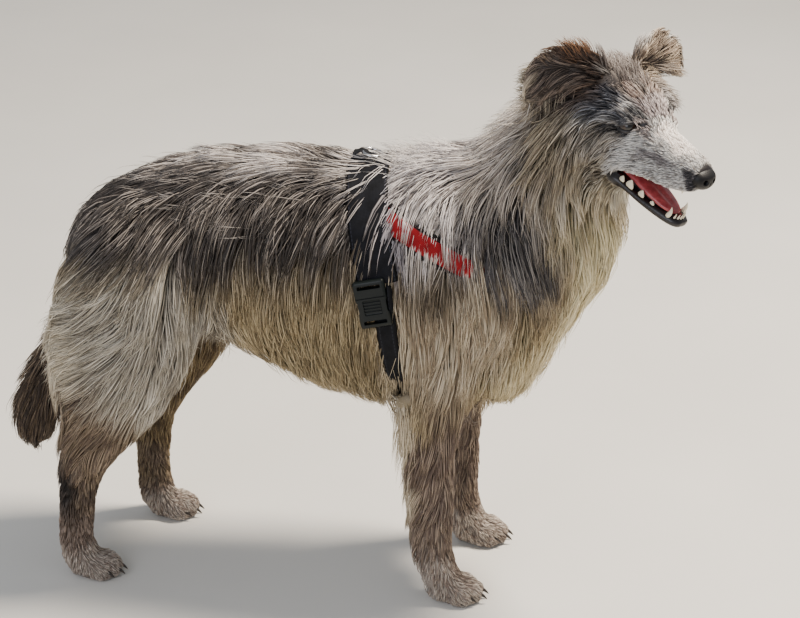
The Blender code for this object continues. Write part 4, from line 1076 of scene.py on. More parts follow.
HEAD_MARKS = [
    (32, 0, -20, 92, 400, 400, "#88817c", "#d6d3cf", 0.68),  # grey-white face
    (-72, 48, -48, 52, 45, 52, "#6c6152", "#b2a58f", 0.56),  # cheek, towards khaki
    (-90, 20, 30, 44, 60, 40, "#463e38", "#988a78", 0.48),  # back of the skull
    (-34, 0, 40, 44, 44, 28, "#3d332e", "#a3968d", 0.38),  # forehead, brown with white hairs
    (-12, 12, 33, 32, 9, 16, "#574740", "#a29086", 0.44),  # tan streaks up the forehead
    (-38, 46, -12, 32, 22, 15, "#6e665d", "#b3aa9e", 0.5),  # warm grey behind the eye
    (-38, 46, 24, 30, 22, 18, "#26262c", "#7f8086", 0.3),  # blue-black above it
    (-6, 37, 10, 16, 12, 9, "#2b2a2f", "#7c7b7e", 0.35),
    (-16, 38, 0, 17, 9, 5, "#1d1c20", "#5b5a5e", 0.25),  # dark line behind its corner
    (6, 8, 22, 20, 15, 12, "#6a5f5d", "#b8adab", 0.5),  # mauve between the eyes
    (4, 28, 13, 15, 10, 8, "#2f2d30", "#8a8886", 0.35),
    (8, 24, 5, 20, 11, 9, "#7b706d", "#b9aeaa", 0.5),  # inside corner of the eye
    (42, 0, -4, 38, 13, 14, "#d8c9c0", "#faf2eb", 0.78),  # pale pink bridge
    (32, 26, -22, 24, 12, 8, "#7c7575", "#aca6a4", 0.5),  # grey side of the muzzle
    (73, 14, -31, 9, 9, 12, "#2e2c2f", "#6b6769", 0.35),  # dark wing of the nose
    (-45, 0, -90, 52, 70, 42, "#8a7c64", "#cdbfa4", 0.6),  # throat
    (22, 0, -84, 60, 34, 14, "#b9b0a0", "#ded8c8", 0.65),  # chin
]
EAR_MARKS = [
    (-72, -62, 40, 36, 34, 36, "#332a26", "#75665b", 0.4),  # right ear
    (-62, -52, 70, 36, 34, 12, "#3a2a21", "#6d523f", 0.42),  # rust and black along its edge
    (-48, -44, 48, 13, 13, 30, "#2a211d", "#5f4c40", 0.35),  # dark edge in front
    (-104, -82, 34, 12, 22, 34, "#7d6c58", "#c6b69a", 0.55),  # cream at its back
    (-45, 56, 45, 34, 36, 32, "#6b5849", "#bba892", 0.5),  # left ear
    (-42, 52, 56, 13, 16, 13, "#43362f", "#8b7969", 0.38),  # its dark hollow
]
BASE_MARK = "#63544a", "#97867a"  # the lower legs
BODY_WARP, HEAD_WARP = 13.0, 4.0  # mm that noise moves an edge
MARK_EDGE = 0.22  # softness, as a share of the radius


def paint(marks, places, state):
    """Paints these marks over the state, which is (dark, light, share) for each place."""
    dark, light, share = state
    for x, y, z, *radii, dark_hex, light_hex, part in marks:
        gap = np.linalg.norm((places - (x, y, z)) / radii, axis=1)
        cover = (1 - ease(gap, 1 - MARK_EDGE, 1 + MARK_EDGE))[:, None]
        dark = dark + (np.array(linear(dark_hex)) - dark) * cover
        light = light + (np.array(linear(light_hex)) - light) * cover
        share = share + (part - share) * cover[:, 0]
    return dark, light, share


def warped(places, size, amount, seed):
    bend = np.stack([waves(places, size, seed + axis) for axis in range(3)], axis=1)
    return places / MM + bend * amount


def folded(places):
    """Both sides laid onto the left one."""
    return places * (1, 0, 1) + np.abs(places * (0, 1, 0))


def markings(places):
    """Dark and light hair colours (linear) and the share of light hair at each place."""
    places = np.asarray(places, float)
    count = len(places)
    shades = [np.tile(linear(shade), (count, 1)) for shade in BASE_MARK]
    state = (*shades, np.full(count, 0.48))
    body = warped(places - BODY_AT, 0.07, BODY_WARP, 11)
    state = paint(SIDE_MARKS, body, paint(BODY_MARKS, folded(body), state))
    local = warped(to_head(places), 0.03, HEAD_WARP, 21)
    face = paint(EAR_MARKS, local, paint(HEAD_MARKS, folded(local), state))
    share = face_share(places + 0.012 * waves(places, 0.04, 31)[:, None])
    mix = [a + (b - a) * (share[:, None] if a.ndim > 1 else share) for a, b in zip(state, face)]
    return mix[0], mix[1], mix[2]


print("marks:", len(BODY_MARKS + SIDE_MARKS + HEAD_MARKS + EAR_MARKS))

# %% [markdown]
# ## Bare places
#
# No hair grows in the mouth, on the lips, in the opening of the eye, on the nose or under the
# feet. The lips' edge is found from the skin's own mesh: it is where the lining of the mouth
# meets the outside.


# %% Distance from the lips and the bare places
def lip_edge():
    """The points that both a lining face and an outside face use."""
    inside = np.zeros(len(skin_places), bool)
    outside = np.zeros(len(skin_places), bool)
    inside[skin_faces[skin_slot == 1]] = True
    outside[skin_faces[skin_slot == 0]] = True
    return skin_places[inside & outside]


lips = lip_edge()
LIP_SPLIT = np.array([-0.147, -0.0535, -0.0155])  # slope, height and start of the line between
lip_tree = tree_of(lips)


def lip_distance(places):
    """How far each place is from the lips' edge, in head sizes, and whether it's below it."""
    gap = np.full(len(places), 0.1)
    local = to_head(places)
    near = (local[:, 0] > -0.05) & (local[:, 2] < 0.0) & (np.abs(local[:, 1]) < 0.06)
    for i in np.flatnonzero(near):
        gap[i] = lip_tree.find(places[i])[2] / HEAD_SIZE
    slope, height, start = LIP_SPLIT
    return gap, local[:, 2] < height + slope * (local[:, 0] - start)


def lid_distance(places):
    """How far each place is outside the nearer eye's opening, in head sizes."""
    local = to_head(places)
    gap = np.full(len(places), 0.1)
    for side, place in EYES.items():
        ahead = (local - place) @ eye_axes(side)[0] > 0
        near = np.flatnonzero(ahead & (np.linalg.norm(local - place, axis=1) < EYE_RADIUS + 0.014))
        gap[near] = slit_distance(local[near], side)[0]
    return gap


NOSE_AT = from_head([NOSE_PLACE])[0]
NOSE_CLEAR = 0.0135  # no hair nearer than this to the middle of the nose
LOWER_LIP, UPPER_LIP = 0.0118, 0.0014  # width of bare lip
BARE_RIM, SOLE = 0.0011, 0.003  # width of the lids' bare rim, and height of the soles


def bare(places):
    """True where no tuft takes root."""
    gap, below = lip_distance(places)
    found = gap < np.where(below, LOWER_LIP, UPPER_LIP)
    found |= lid_distance(places) < BARE_RIM
    found |= np.linalg.norm(places - NOSE_AT, axis=1) < NOSE_CLEAR * HEAD_SIZE
    found |= places[:, 2] < SOLE
    return found


print("points on the lips' edge:", len(lips))

# %% [markdown]
# ## The straps' way through the coat
#
# Hair that starts behind a strap runs under it, pressed flat, and comes up again on the other
# side. Some longer locks of the shoulder lie over the strap and half hide it. Each strap lies
# in a plane, so its share of a place is worked out from the distance to that plane.

# %% The planes of the straps
SADDLE_TILT, GIRTH_TILT, BAND_TILT = (math.radians(turn) for turn in (13, 6, 25))
SADDLE_AT, GIRTH_AT, BAND_AT = (0.074, 0, 0.505), (0.102, 0, 0.405), (0.16, 0, 0.442)
STRAPS_PLACED = [  # direction across it, a point of it, half its width, share of hair over it
    ((math.cos(SADDLE_TILT), 0, math.sin(SADDLE_TILT)), SADDLE_AT, 0.025, 0.19),
    ((math.cos(GIRTH_TILT), 0, math.sin(GIRTH_TILT)), GIRTH_AT, 0.0125, 0.34),
    ((math.sin(BAND_TILT), 0, math.cos(BAND_TILT)), BAND_AT, 0.0165, 0.7),
]
STRAP_EDGE = 0.007  # over this distance the hair dives under
SADDLE_FROM = (0.38, 0.39)  # the saddle strap goes from this height up, the girth down
BAND_FROM = (0.092, 0.102)  # the band goes from here forward
RUFF_FROM = (0.196, 0.228)  # the ruff begins to hang over the band from here forward


def strap_shares(places):
    """The share of pressing by each of the three straps, as an (n, 3) array."""
    local = places - BODY_AT
    made = []
    for across, at, half, _ in STRAPS_PLACED:
        gap = np.abs((local - at) @ np.array(across))
        made.append(1 - ease(gap, half, half + STRAP_EDGE))
    made[0] *= ease(local[:, 2], *SADDLE_FROM)
    made[1] *= 1 - ease(local[:, 2], *SADDLE_FROM)
    made[2] *= ease(local[:, 0], *BAND_FROM)
    return np.stack(made, axis=1)


def hidden_part(places, part):
    """The share of locks that lie over a strap. In front the ruff hides the band wholly."""
    return part + (1 - part) * ease(places[:, 0] - BODY_AT[0], *RUFF_FROM)


# %% [markdown]
# ## Growing the coat
#
# Each tuft is a thin, three-sided, tapering solid. Its path starts on the skin and follows the
# lie of the coat from step to step. While it goes along, it climbs from the skin towards the
# outline, so the tufts lie over each other like thatch. Neighbours lean towards a leader, as
# real hair gathers in locks. All paths of a batch are worked out at once as arrays.


# %% The outline as a surface to climb to
def surface_of(things, depths):
    """One search tree of several meshes, with each triangle's normal and depth of coat."""
    points, faces, facing, depth, start = [], [], [], [], 0
    for thing, deep in zip(things, depths):
        own = triangles_of(thing.data)
        points.append(places_of(thing.data))
        faces.append(own + start)
        facing.append(unit(normals_of(thing.data)[own].mean(axis=1)))
        depth.append(np.broadcast_to(deep, len(points[-1]))[own].mean(axis=1))
        start += len(points[-1])
    tree = BVHTree.FromPolygons(np.vstack(points).tolist(), np.vstack(faces).tolist())
    return tree, np.vstack(facing), np.concatenate(depth)


EAR_DEPTH = 0.003
surface, surface_facing, surface_depth = surface_of(
    [outline, ear_outline], [coat_depth, EAR_DEPTH]
)


def nearest(places):
    """The outline's nearest place to each place, its normal there and the coat's depth."""
    spots, index = np.empty_like(places), np.empty(len(places), int)
    for i, place in enumerate(places.tolist()):
        found = surface.find_nearest(place)
        spots[i], index[i] = found[0], found[2]
    return spots, surface_facing[index], surface_depth[index]


# %% [markdown]
# The map gives the distance between neighbouring roots. Each triangle of the skin asks for its
# share of them, and a walk over all triangles in blocks spreads them evenly.



# %% Scatter the roots
def scatter():
    """Triangles of the skin and corner weights of the roots, spaced as the map asks."""
    corners = skin_places[skin_faces]
    middles = corners.mean(axis=1)
    area = np.linalg.norm(
        np.cross(corners[:, 1] - corners[:, 0], corners[:, 2] - corners[:, 0]), axis=1
    )
    wanted = area / 2 / combed(middles)[:, SPACING - 3] ** 2
    wanted[skin_slot == 1] = 0
    order = np.lexsort(np.floor(middles / 0.012).T)
    total = np.cumsum(wanted[order])
    marks = np.arange(int(total[-1])) + chance.random(int(total[-1]))
    chosen = order[np.clip(np.searchsorted(total, marks), 0, len(order) - 1)]
    a, b = np.sqrt(chance.random(len(chosen))), chance.random(len(chosen))
    return chosen, np.stack([1 - a, a * (1 - b), a * b], axis=1)


chosen, weights = scatter()


def blended(values):
    """Values at the corners of the chosen triangles, as they are at the roots."""
    return (values * weights[..., None]).sum(axis=1)


roots = blended(skin_places[skin_faces[chosen]])
kept = ~bare(roots)
chosen, weights, roots = chosen[kept], weights[kept], roots[kept]
root_facing = unit(blended(skin_facing[skin_faces[chosen]]))
root_flat = blended(skin_flat[chosen])
print("roots:", len(roots))

# %% [markdown]
# One function grows all kinds of tuft. At each step it looks up the lie of the coat, moves on
# over the outline, and sinks by what is left of the coat's depth or by a strap's pressing. A
# free lock may leave the outline near its tip.


# %% Grow the paths
STEEPEST = 2.0  # how quickly a tuft climbs to the outline
FLY = 0.0012  # how far a tuft may pass the outline
FREE_FLY = 0.02  # how much further the tip of a free lock may hang out of it
PRESSED, OVER = 0.0078, 0.0006  # inset under a strap and over it
SHORTEST, LID_GROW = 0.0012, 1.3  # hair at the lids' rim, and how it lengthens from there
FREE = 0.85  # a tuft that clings less than this may leave the outline
OFF_FLOOR = 0.0012


def grow(roots, facing, rows, levels, leaders, high, drift, fly, push=0.0):
    """Places and outward directions along each tuft: two (n, levels, 3) arrays."""
    length = rows[:, LONG - 3] * chance.uniform(0.8, 1.15, len(roots))
    lids = lid_distance(roots)
    length = np.minimum(length, SHORTEST + np.maximum(lids, 0) * LID_GROW)
    cling = np.clip(rows[:, CLING - 3], 0, 1)[:, None]
    cover, up, deep = nearest(roots + facing * rows[:, DEEP - 3 : DEEP - 2])
    over = 0.4 * chance.random(len(roots))[leaders] + 0.6 * chance.random(len(roots))
    fly = fly * (1 - ease(cling[:, 0], 0.4, FREE))
    places, ups = [roots], [unit(facing + up)]
    step = (length / (levels - 1))[:, None]
    for level in range(1, levels):
        s = level / (levels - 1)
        lie = unit(combed(cover)[:, :3] + drift * (0.6 + 0.4 * s) + push)
        along = unit(lie - up * (lie * up).sum(axis=1, keepdims=True))
        cover, up, deep = nearest(cover + along * step)
        inset = deep * (1 - high * (1 - (1 - s) ** STEEPEST))
        presses = strap_shares(cover)
        for press, (_, _, _, part) in zip(presses.T, STRAPS_PLACED):
            above = over < hidden_part(cover, part)
            inset += press * np.where(above, OVER - inset, np.maximum(PRESSED - inset, 0))
        held = cover - up * inset[:, None]
        free = places[-1] + lie * step
        there = free + (held - free) * cling
        loose = np.flatnonzero(cling[:, 0] < FREE)
        if len(loose):
            spot, out, _ = nearest(there[loose])
            gap = ((there[loose] - spot) * out).sum(axis=1)
            room = FLY + fly[loose] * s
            there[loose] -= out * np.maximum(gap - room, 0)[:, None]
        there[:, 2] = np.maximum(there[:, 2], OFF_FLOOR)
        places.append(there)
        ups.append(up)
    return np.stack(places, axis=1), np.stack(ups, axis=1)


def leaders_of(roots, share):
    """The index of the leader that each tuft leans to."""
    chosen = chance.choice(len(roots), max(1, int(len(roots) * share)), replace=False)
    tree = tree_of(roots[chosen])
    return chosen[[tree.find(root)[1] for root in roots]]


LEAN_REACH = 0.016


def gathered(places, leaders, pull):
    """Draws the outer part of each path towards its leader's."""
    levels = places.shape[1]
    s = np.linspace(0, 1, levels)[None, :, None]
    apart = np.linalg.norm(places[:, 0] - places[leaders, 0], axis=1)
    near = (1 - ease(apart, LEAN_REACH * 0.6, LEAN_REACH))[:, None, None]
    return places + (places[leaders] - places) * (pull * near * s**1.4)


# %% [markdown]
# Thousands of paths become one mesh at once: three points round each place on a path but the
# last, which is the tip. All tufts with equally many places share one template of faces.


# %% Make tufts into meshes
WIDTHS = ((0.0, 0.12, 0.45, 0.8, 1.0), (0.75, 1.0, 0.92, 0.55, 0.0))
THICK = 0.5  # of its width
PATCH = 0.003  # a tuft's size on the unwrap


def tuft_template(levels):
    """Faces and unwrap corners of one tuft: rings of three points and a tip."""
    faces, flat, rings = [], [], levels - 1
    for ring in range(rings - 1):
        for i in range(3):
            a, b = ring * 3 + i, ring * 3 + (i + 1) % 3
            low, high = ring / rings, (ring + 1) / rings
            left, right = i / 3, (i + 1) / 3
            faces += [(a, b, b + 3), (a, b + 3, a + 3)]
            flat += [((left, low), (right, low), (right, high))]
            flat += [((left, low), (right, high), (left, high))]
    last = (rings - 1) * 3
    for i in range(3):
        faces.append((last + i, last + (i + 1) % 3, rings * 3))
        low = (rings - 1) / rings
        flat.append(((i / 3, low), ((i + 1) / 3, low), ((i + 0.5) / 3, 1.0)))
    faces.append((2, 1, 0))
    flat.append(((1.0, 0.0), (0.7, -0.15), (0.3, -0.15)))
    return np.array(faces), np.array(flat)


def tuft_points(places, ups, widths):
    """All points of all tufts, ring by ring, as an (n, points, 3) array."""
    count, levels, _ = places.shape
    s = np.linspace(0, 1, levels)
    along = unit(np.gradient(places, axis=1))
    side = unit(np.cross(along, ups))
    rise = unit(np.cross(side, along))
    half = widths[:, None] * np.interp(s, *WIDTHS)[None] / 2
    rings = np.empty((count, levels - 1, 3, 3))
    for i, (across, above) in enumerate(((1, -0.5), (0, 1), (-1, -0.5))):
        rings[:, :, i] = (
            places
            + side * (half * across)[..., None]
            + rise * (half * above * 2 * THICK)[..., None]
        )[:, :-1]
    return np.concatenate([rings.reshape(count, -1, 3), places[:, -1:]], axis=1)


def tuft_mesh(name, places, ups, widths, flat, colors):
    """One mesh of many tufts. Colours are given at the root and at the tip."""
    count, levels, _ = places.shape
    points = tuft_points(places, ups, widths)
    template, corners = tuft_template(levels)
    size = points.shape[1]
    faces = (template[None] + np.arange(count)[:, None, None] * size).reshape(-1, 3)
    mesh = mesh_of(name, points.reshape(-1, 3), faces)
    layer = mesh.uv_layers.new(name="OFBake")
    patch = flat[:, None, None] + (corners - 0.5)[None] * PATCH
    layer.uv.foreach_set("vector", np.clip(patch, 0, 1).astype(np.float32).ravel())
    share = np.append(np.repeat(np.linspace(0, 1, levels)[:-1], 3), 1.0)[None, :, None]
    painted = colors[0][:, None] + (colors[1] - colors[0])[:, None] * share
    full = np.concatenate([painted, np.ones((count, size, 1))], axis=2)
    store(mesh, "hair", "FLOAT_COLOR", full)
    return mesh


# %% [markdown]
# Short hair needs fewer places along its path than long hair, so the roots are sorted into
# three batches. Luck decides how far a lock strays and how high it lies, and most of that luck
# is the leader's, so a lock moves as one.


# %% Grow each batch
BATCHES = [  # shortest and longest tuft in it, points along its path, leaders, pull
    (0, 0.0105, 3, 0.2, 0.25),
    (0.0105, 0.026, 4, 0.12, 0.4),
    (0.026, 0.2, 5, 0.05, 0.5),
]
DRIFT, LEADER_DRIFT = 0.1, 0.23  # how far a tuft, and a whole lock, strays from the lie
PROUD = 0.16  # how far, as a share of the coat's depth, some locks rise out of it
SILVER, SILVER_SHINE = 0.05, 1.35  # share of guard hairs that are paler, and by how much
STREAK_EDGE = 0.15  # softness of the step between dark and light hair


def home_nodes(places):
    """The name of the nearest flesh solid to each place."""
    names, points = [], []
    for name in FLESH:
        own = places_of(frame["nodes"][name].data)
        names += [name] * len(own)
        points.append(own)
    tree = tree_of(np.vstack(points))
    return np.array([names[tree.find(place)[1]] for place in places])


def hair_colors(low, high, leaders):
    """Colours at the root and tip of tufts. `low` and `high` are places on their paths."""
    count = len(low)
    dark, light, share = markings(low)
    tip_dark, tip_light, _ = markings(high)
    luck = 0.4 * chance.random(count)[leaders] + 0.6 * chance.random(count)
    streak = (1 - ease(luck, share - STREAK_EDGE, share + STREAK_EDGE))[:, None]
    silver = (chance.random(count) < SILVER)[:, None]
    bright = chance.uniform(0.78, 1.25, (count, 1))
    root, tip = (
        np.where(silver, pale * SILVER_SHINE, (deep + (pale - deep) * streak) * bright)
        for deep, pale in ((dark, light), (tip_dark, tip_light))
    )
    # the root is darkened as painted shade deep in the coat; the tip leans to the light hair
    return root * 0.72 + dark * 0.08, tip * 0.92 + tip_light * 0.16


root_rows = combed(roots)
coat_parts = []
for shortest, longest, levels, lead, pull in BATCHES:
    length = root_rows[:, LONG - 3]
    batch = np.flatnonzero((length >= shortest) & (length < longest))
    start, rows = roots[batch], root_rows[batch]
    leaders = leaders_of(start, lead)
    own = unit(chance.normal(size=(len(batch), 3))) * DRIFT
    drift = own + (unit(chance.normal(size=(len(batch), 3))) * LEADER_DRIFT)[leaders]
    high = 1.04 - 0.58 * chance.random(len(batch)) ** 1.5
    high += PROUD * (chance.random(len(batch)) ** 3)[leaders]
    fly = FREE_FLY * (0.4 + 0.6 * chance.random(len(batch)))
    fly *= chance.random(len(batch))[leaders] ** 1.5
    paths, ups = grow(start, root_facing[batch], rows, levels, leaders, high, drift, fly)
    paths = gathered(paths, leaders, pull)
    widths = rows[:, WIDE - 3] * chance.uniform(0.75, 1.2, len(batch))
    colors = hair_colors(paths[:, 1], paths[:, levels // 2], leaders)
    coat_parts.append((batch, paths, ups, widths, colors))
    print("batch of", levels, "points:", len(batch))

# %% [markdown]
# Some hairs never lie down. They stand a little out of the coat along the back and the nape.
# Longer ones make fringes: on the ears and between them, behind the thighs and the elbows, on
# the tail and under the belly. They are grown as extra batches, thin and free of the outline,
# and each fringe is a row of a table: where it is rooted and which way it is brushed.

# %% Wisps
WISP_WIDE, WISP_STAND, WISP_POINTS = 0.0008, 0.22, 6
WISPS, FORCE = 1100, 1.8
FRINGES = [  # on the head?; x, y, z, radius in mm; hairs; brushed x, y, z; length, rise; colours
    (1, -58, -50, 70, 17, 90, -0.1, -0.1, 1, 32, 28, "#5e3d26", "#a87a55"),  # right ear, rust
    (1, -78, -66, 62, 14, 70, -0.6, -0.2, 0.7, 20, 12, "#5a4638", "#a08a74"),
    (1, -92, -74, 34, 20, 190, -1, -0.2, 0.1, 32, 22, "#4a3e36", "#d0c2a8"),  # cream behind it
    (1, -88, -70, 8, 20, 90, -0.9, -0.3, -0.5, 32, 12, "#4a4037", "#b9a98e"),
    (1, -50, -4, 50, 30, 460, 0.15, 0.1, 1, 30, 24, "#4b413b", "#b3a8a2"),  # between the ears
    (1, -28, 6, 42, 18, 130, -0.3, 0.2, 0.9, 17, 9, "#453b36", "#b3a8a2"),
    (1, -44, 40, 40, 20, 300, 0.25, 0.6, 0.55, 26, 18, "#74604f", "#cbbba6"),  # left ear's foot
    (1, -30, 43, 29, 21, 350, 0.75, 0.65, -0.05, 32, 26, "#716157", "#c5b8ab"),
    (1, -14, 34, 20, 14, 180, 0.75, 0.65, 0.05, 18, 13, "#7d726b", "#d0c8c3"),  # left temple
    (0, 150, 0, 540, 58, 170, -0.55, 0, 0.55, 58, 18, "#8d837c", "#f0e9e2"),  # withers
    (0, -70, 0, 520, 120, 170, -0.8, 0, 0.45, 50, 14, "#6e645d", "#e6ddd4"),  # loin
    (0, 232, 0, 590, 50, 90, -0.75, 0, 0.45, 45, 14, "#7d7266", "#d8ccbc"),  # nape
    (0, -262, -100, 300, 52, 150, -1, 0, -0.3, 62, 20, "#9a8f7e", "#ddd4c2"),  # breeches
    (0, -262, 100, 300, 52, 110, -1, 0, -0.3, 62, 20, "#9a8f7e", "#ddd4c2"),
    (0, -325, 0, 215, 62, 260, -0.55, 0.1, -0.8, 46, 16, "#43372e", "#a8937a"),  # tail
    (0, -300, 0, 265, 45, 120, 0.35, 0.1, -0.95, 40, 14, "#57483a", "#b8a68a"),
    (0, 20, 0, 245, 95, 260, 0.15, 0, -1, 58, 18, "#7f6e52", "#cbbb98"),  # belly
    (0, 112, -75, 225, 32, 110, -0.45, 0, -0.9, 62, 20, "#7d6c56", "#cdbf9f"),  # elbows
    (0, 112, 75, 225, 32, 80, -0.45, 0, -0.9, 62, 20, "#7d6c56", "#cdbf9f"),
    (0, 136, -70, 165, 26, 70, -0.6, 0, -0.8, 40, 14, "#6f5f4e", "#b5a486"),
    (0, -215, 72, 200, 36, 90, -0.65, 0, -0.75, 48, 16, "#6b5a42", "#bda980"),  # far gaskin
    (0, 285, 0, 320, 62, 150, 0.25, 0, -1, 60, 14, "#a09070", "#e2d6b6"),  # breast
]
to_body, on_skull = (roots - BODY_AT) / MM, to_head(roots) / MM


def wisps(chosen, push, rise, tint=None, long=None):
    """Adds a batch of free hairs, pushed one way and, if asked, tinted and of one length."""
    rows = root_rows[chosen].copy()
    if long:
        rows[:, LONG - 3] = long
    rows[:, CLING - 3] = 0.2
    leaders = np.arange(len(chosen))
    drift = unit(chance.normal(size=(len(chosen), 3))) * (0.35 + 0.25 * bool(long))
    high = np.ones(len(chosen))
    fly = rise * (0.35 + 0.65 * chance.random(len(chosen)))
    paths, ups = grow(
        roots[chosen], root_facing[chosen], rows, WISP_POINTS, leaders, high, drift, fly, push
    )
    root_color, tip_color = hair_colors(paths[:, 1], paths[:, 3], leaders)
    if tint:
        luck = chance.uniform(0.55, 1.2, (len(chosen), 1))
        root_color = root_color * 0.4 + np.array(linear(tint[0])) * 0.6 * luck
        tip_color = tip_color * 0.3 + np.array(linear(tint[1])) * 0.7 * luck
    else:
        tip_color = tip_color * 1.25
    widths = WISP_WIDE * chance.uniform(0.7, 1.3, len(chosen))
    coat_parts.append((chosen, paths, ups, widths, (root_color, tip_color)))


long_haired = np.flatnonzero((face_share(roots) < 0.5) & (root_rows[:, LONG - 3] > 0.045))
chosen = chance.choice(long_haired, WISPS, replace=False)
wisps(chosen, root_facing[chosen] * WISP_STAND, FREE_FLY * 0.5)
for skull, x, y, z, patch, count, brush_x, brush_y, brush_z, long, rise, *tint in FRINGES:
    spread = np.linalg.norm((on_skull if skull else to_body) - (x, y, z), axis=1)
    near = np.flatnonzero(spread < patch)
    chosen = chance.choice(near, count, replace=len(near) < count)
    brush = np.array((brush_x, brush_y, brush_z))
    brush = unit(brush @ HEAD_AXES.T if skull else brush)
    wisps(chosen, brush * FORCE, rise * MM, tint, long * MM)
print("fringe hairs:", sum(row[5] for row in FRINGES))

# %% [markdown]
# The coat is kept in pieces, one for each solid of the body, and the chest's is halved, so that
# no piece is too large.


# %% Build the coat's pieces
# keratin: a hair's own gloss is soft, and its colour changes from hair to hair
coat_finish, coat_tree, coat_shader = finish_named(
    "guard_hair", Roughness=0.5, Specular_IOR_Level=0.35
)
plug(coat_shader, {"Base Color": add(coat_tree, "Attribute", attribute_name="hair")})
root_home = home_nodes(roots)
wide_home = root_home == "chest"
root_home[wide_home] = np.where(roots[wide_home, 1] > BODY_AT[1], "chest_left", "chest_right")
coat_total = 0
for home in sorted(set(root_home)):
    parts = []
    for batch, paths, ups, widths, colors in coat_parts:
        own = root_home[batch] == home
        if own.any():
            flat = root_flat[batch][own]
            painted = [color[own] for color in colors]
            parts.append(tuft_mesh("part", paths[own], ups[own], widths[own], flat, painted))
    pieces = [object_of(f"coat_{home}", mesh, coat_finish) for mesh in parts]
    piece = pieces[0]
    select(*pieces)
    bpy.ops.object.join()
    fit(piece, "coat")
    coat_total += len(piece.data.polygons)
    print(piece.name, len(piece.data.polygons), "triangles")
print("coat triangles:", coat_total)

# %% [markdown]
# ## Eyes
#
# An eyeball is a sphere with a steeper dome over the iris. The sphere is added as a
# primitive, its pole is turned to where the dog looks, and the dome is raised by moving the
# points near the pole outwards. Each point keeps its angle from the pole as an attribute, and
# the shader turns that angle into pupil, iris, dark rim and white.

# %% Eyeballs
GAZE = {"left": (0.78, 0.62, 0.06), "right": (0.78, -0.62, 0.06)}
DOME, DOME_REACH = 0.0007, math.radians(38)
EYE_RINGS = [  # share of a quarter turn from the pole, colour
    (0, "#050404"),
    (0.19, "#050404"),  # pupil
    (0.23, "#1e120b"),
    (0.33, "#331e10"),  # iris
    (0.44, "#180e08"),
    (0.49, "#0d0806"),  # its dark rim
    (0.58, "#2f2521"),
    (1, "#54463e"),  # white, brownish in this breed
]
# a cornea under a film of tears: sharp, wet highlights over a dark inside
eye_finish, eye_tree, eye_shader = finish_named(
    "wet_eye", Roughness=0.06, IOR=1.38, Coat_Weight=0.6, Coat_Roughness=0.02
)
from_pole = add(eye_tree, "Attribute", attribute_name="off_pole").outputs["Fac"]
plug(eye_shader, {"Base Color": add(eye_tree, "ValToRGB", {"Fac": from_pole}, EYE_RINGS)})


def settle(thing):
    """Puts an object's place, turn and size into its mesh."""
    select(thing)
    bpy.ops.object.transform_apply(location=True, rotation=True, scale=True)


def named(name, finish, slot, node):
    """Names the object that an operator has just added, and gives it its finish."""
    made = bpy.context.object
    made.name = made.data.name = name
    made.data.materials.clear()
    made.data.materials.append(finish)
    fit(made, slot, node)
    return made


for side, place in EYES.items():
    gaze = Vector(HEAD_AXES @ np.array(GAZE[side])).normalized()
    select()
    bpy.ops.mesh.primitive_uv_sphere_add(
        segments=48, ring_count=40, radius=EYE_RADIUS * HEAD_SIZE,
        location=Vector(from_head([place])[0]), rotation=gaze.to_track_quat("Z", "Y").to_euler(),
    )
    eye = named(f"eyeball_{side}", eye_finish, "eye", f"eye_{side}")
    settle(eye)
    middle_at = from_head([place])[0]
    away = unit(places_of(eye.data) - middle_at)
    angle = np.arccos(np.clip(away @ np.array(gaze), -1, 1))
    rise = DOME * HEAD_SIZE * (1 - ease(angle, 0, DOME_REACH))
    set_places(eye.data, places_of(eye.data) + away * rise[:, None])
    store(eye.data, "off_pole", "FLOAT", angle / (math.pi / 2))
    eye.data.shade_smooth()
print("eyeballs of", round(2000 * EYE_RADIUS * HEAD_SIZE, 1), "mm")

# %% [markdown]
# ## Nose
#
# The nose leather is a rounded wedge. Its nostrils are commas: a round opening in front that
# runs out into a slit at the side. A groove parts the two halves below. A ball is shaped by
# pushing its points in along these lines, which keeps the surface smooth and closed. Fine
# pebbling is left to the shader.

# %% Nose
NOSE_SIZE = (0.013, 0.0152, 0.0122)
NOSTRIL = np.array([0.01, 0.0062, -0.0012])  # from the middle of the nose, left side
SLIT_END = np.array([0.0035, 0.0135, -0.005])
NOSTRIL_DEEP, NOSTRIL_WIDE, SLIT_DEEP, SLIT_WIDE = 0.006, 0.0034, 0.0034, 0.0016
PHILTRUM_DEEP, PHILTRUM_WIDE = 0.0011, 0.0008


def to_segment(places, start, end):
    """Distance from each place to the line from start to end, and how far along it is."""
    line = end - start
    along = np.clip(((places - start) @ line) / (line @ line), 0, 1)
    return np.linalg.norm(places - (start + along[:, None] * line), axis=1), along


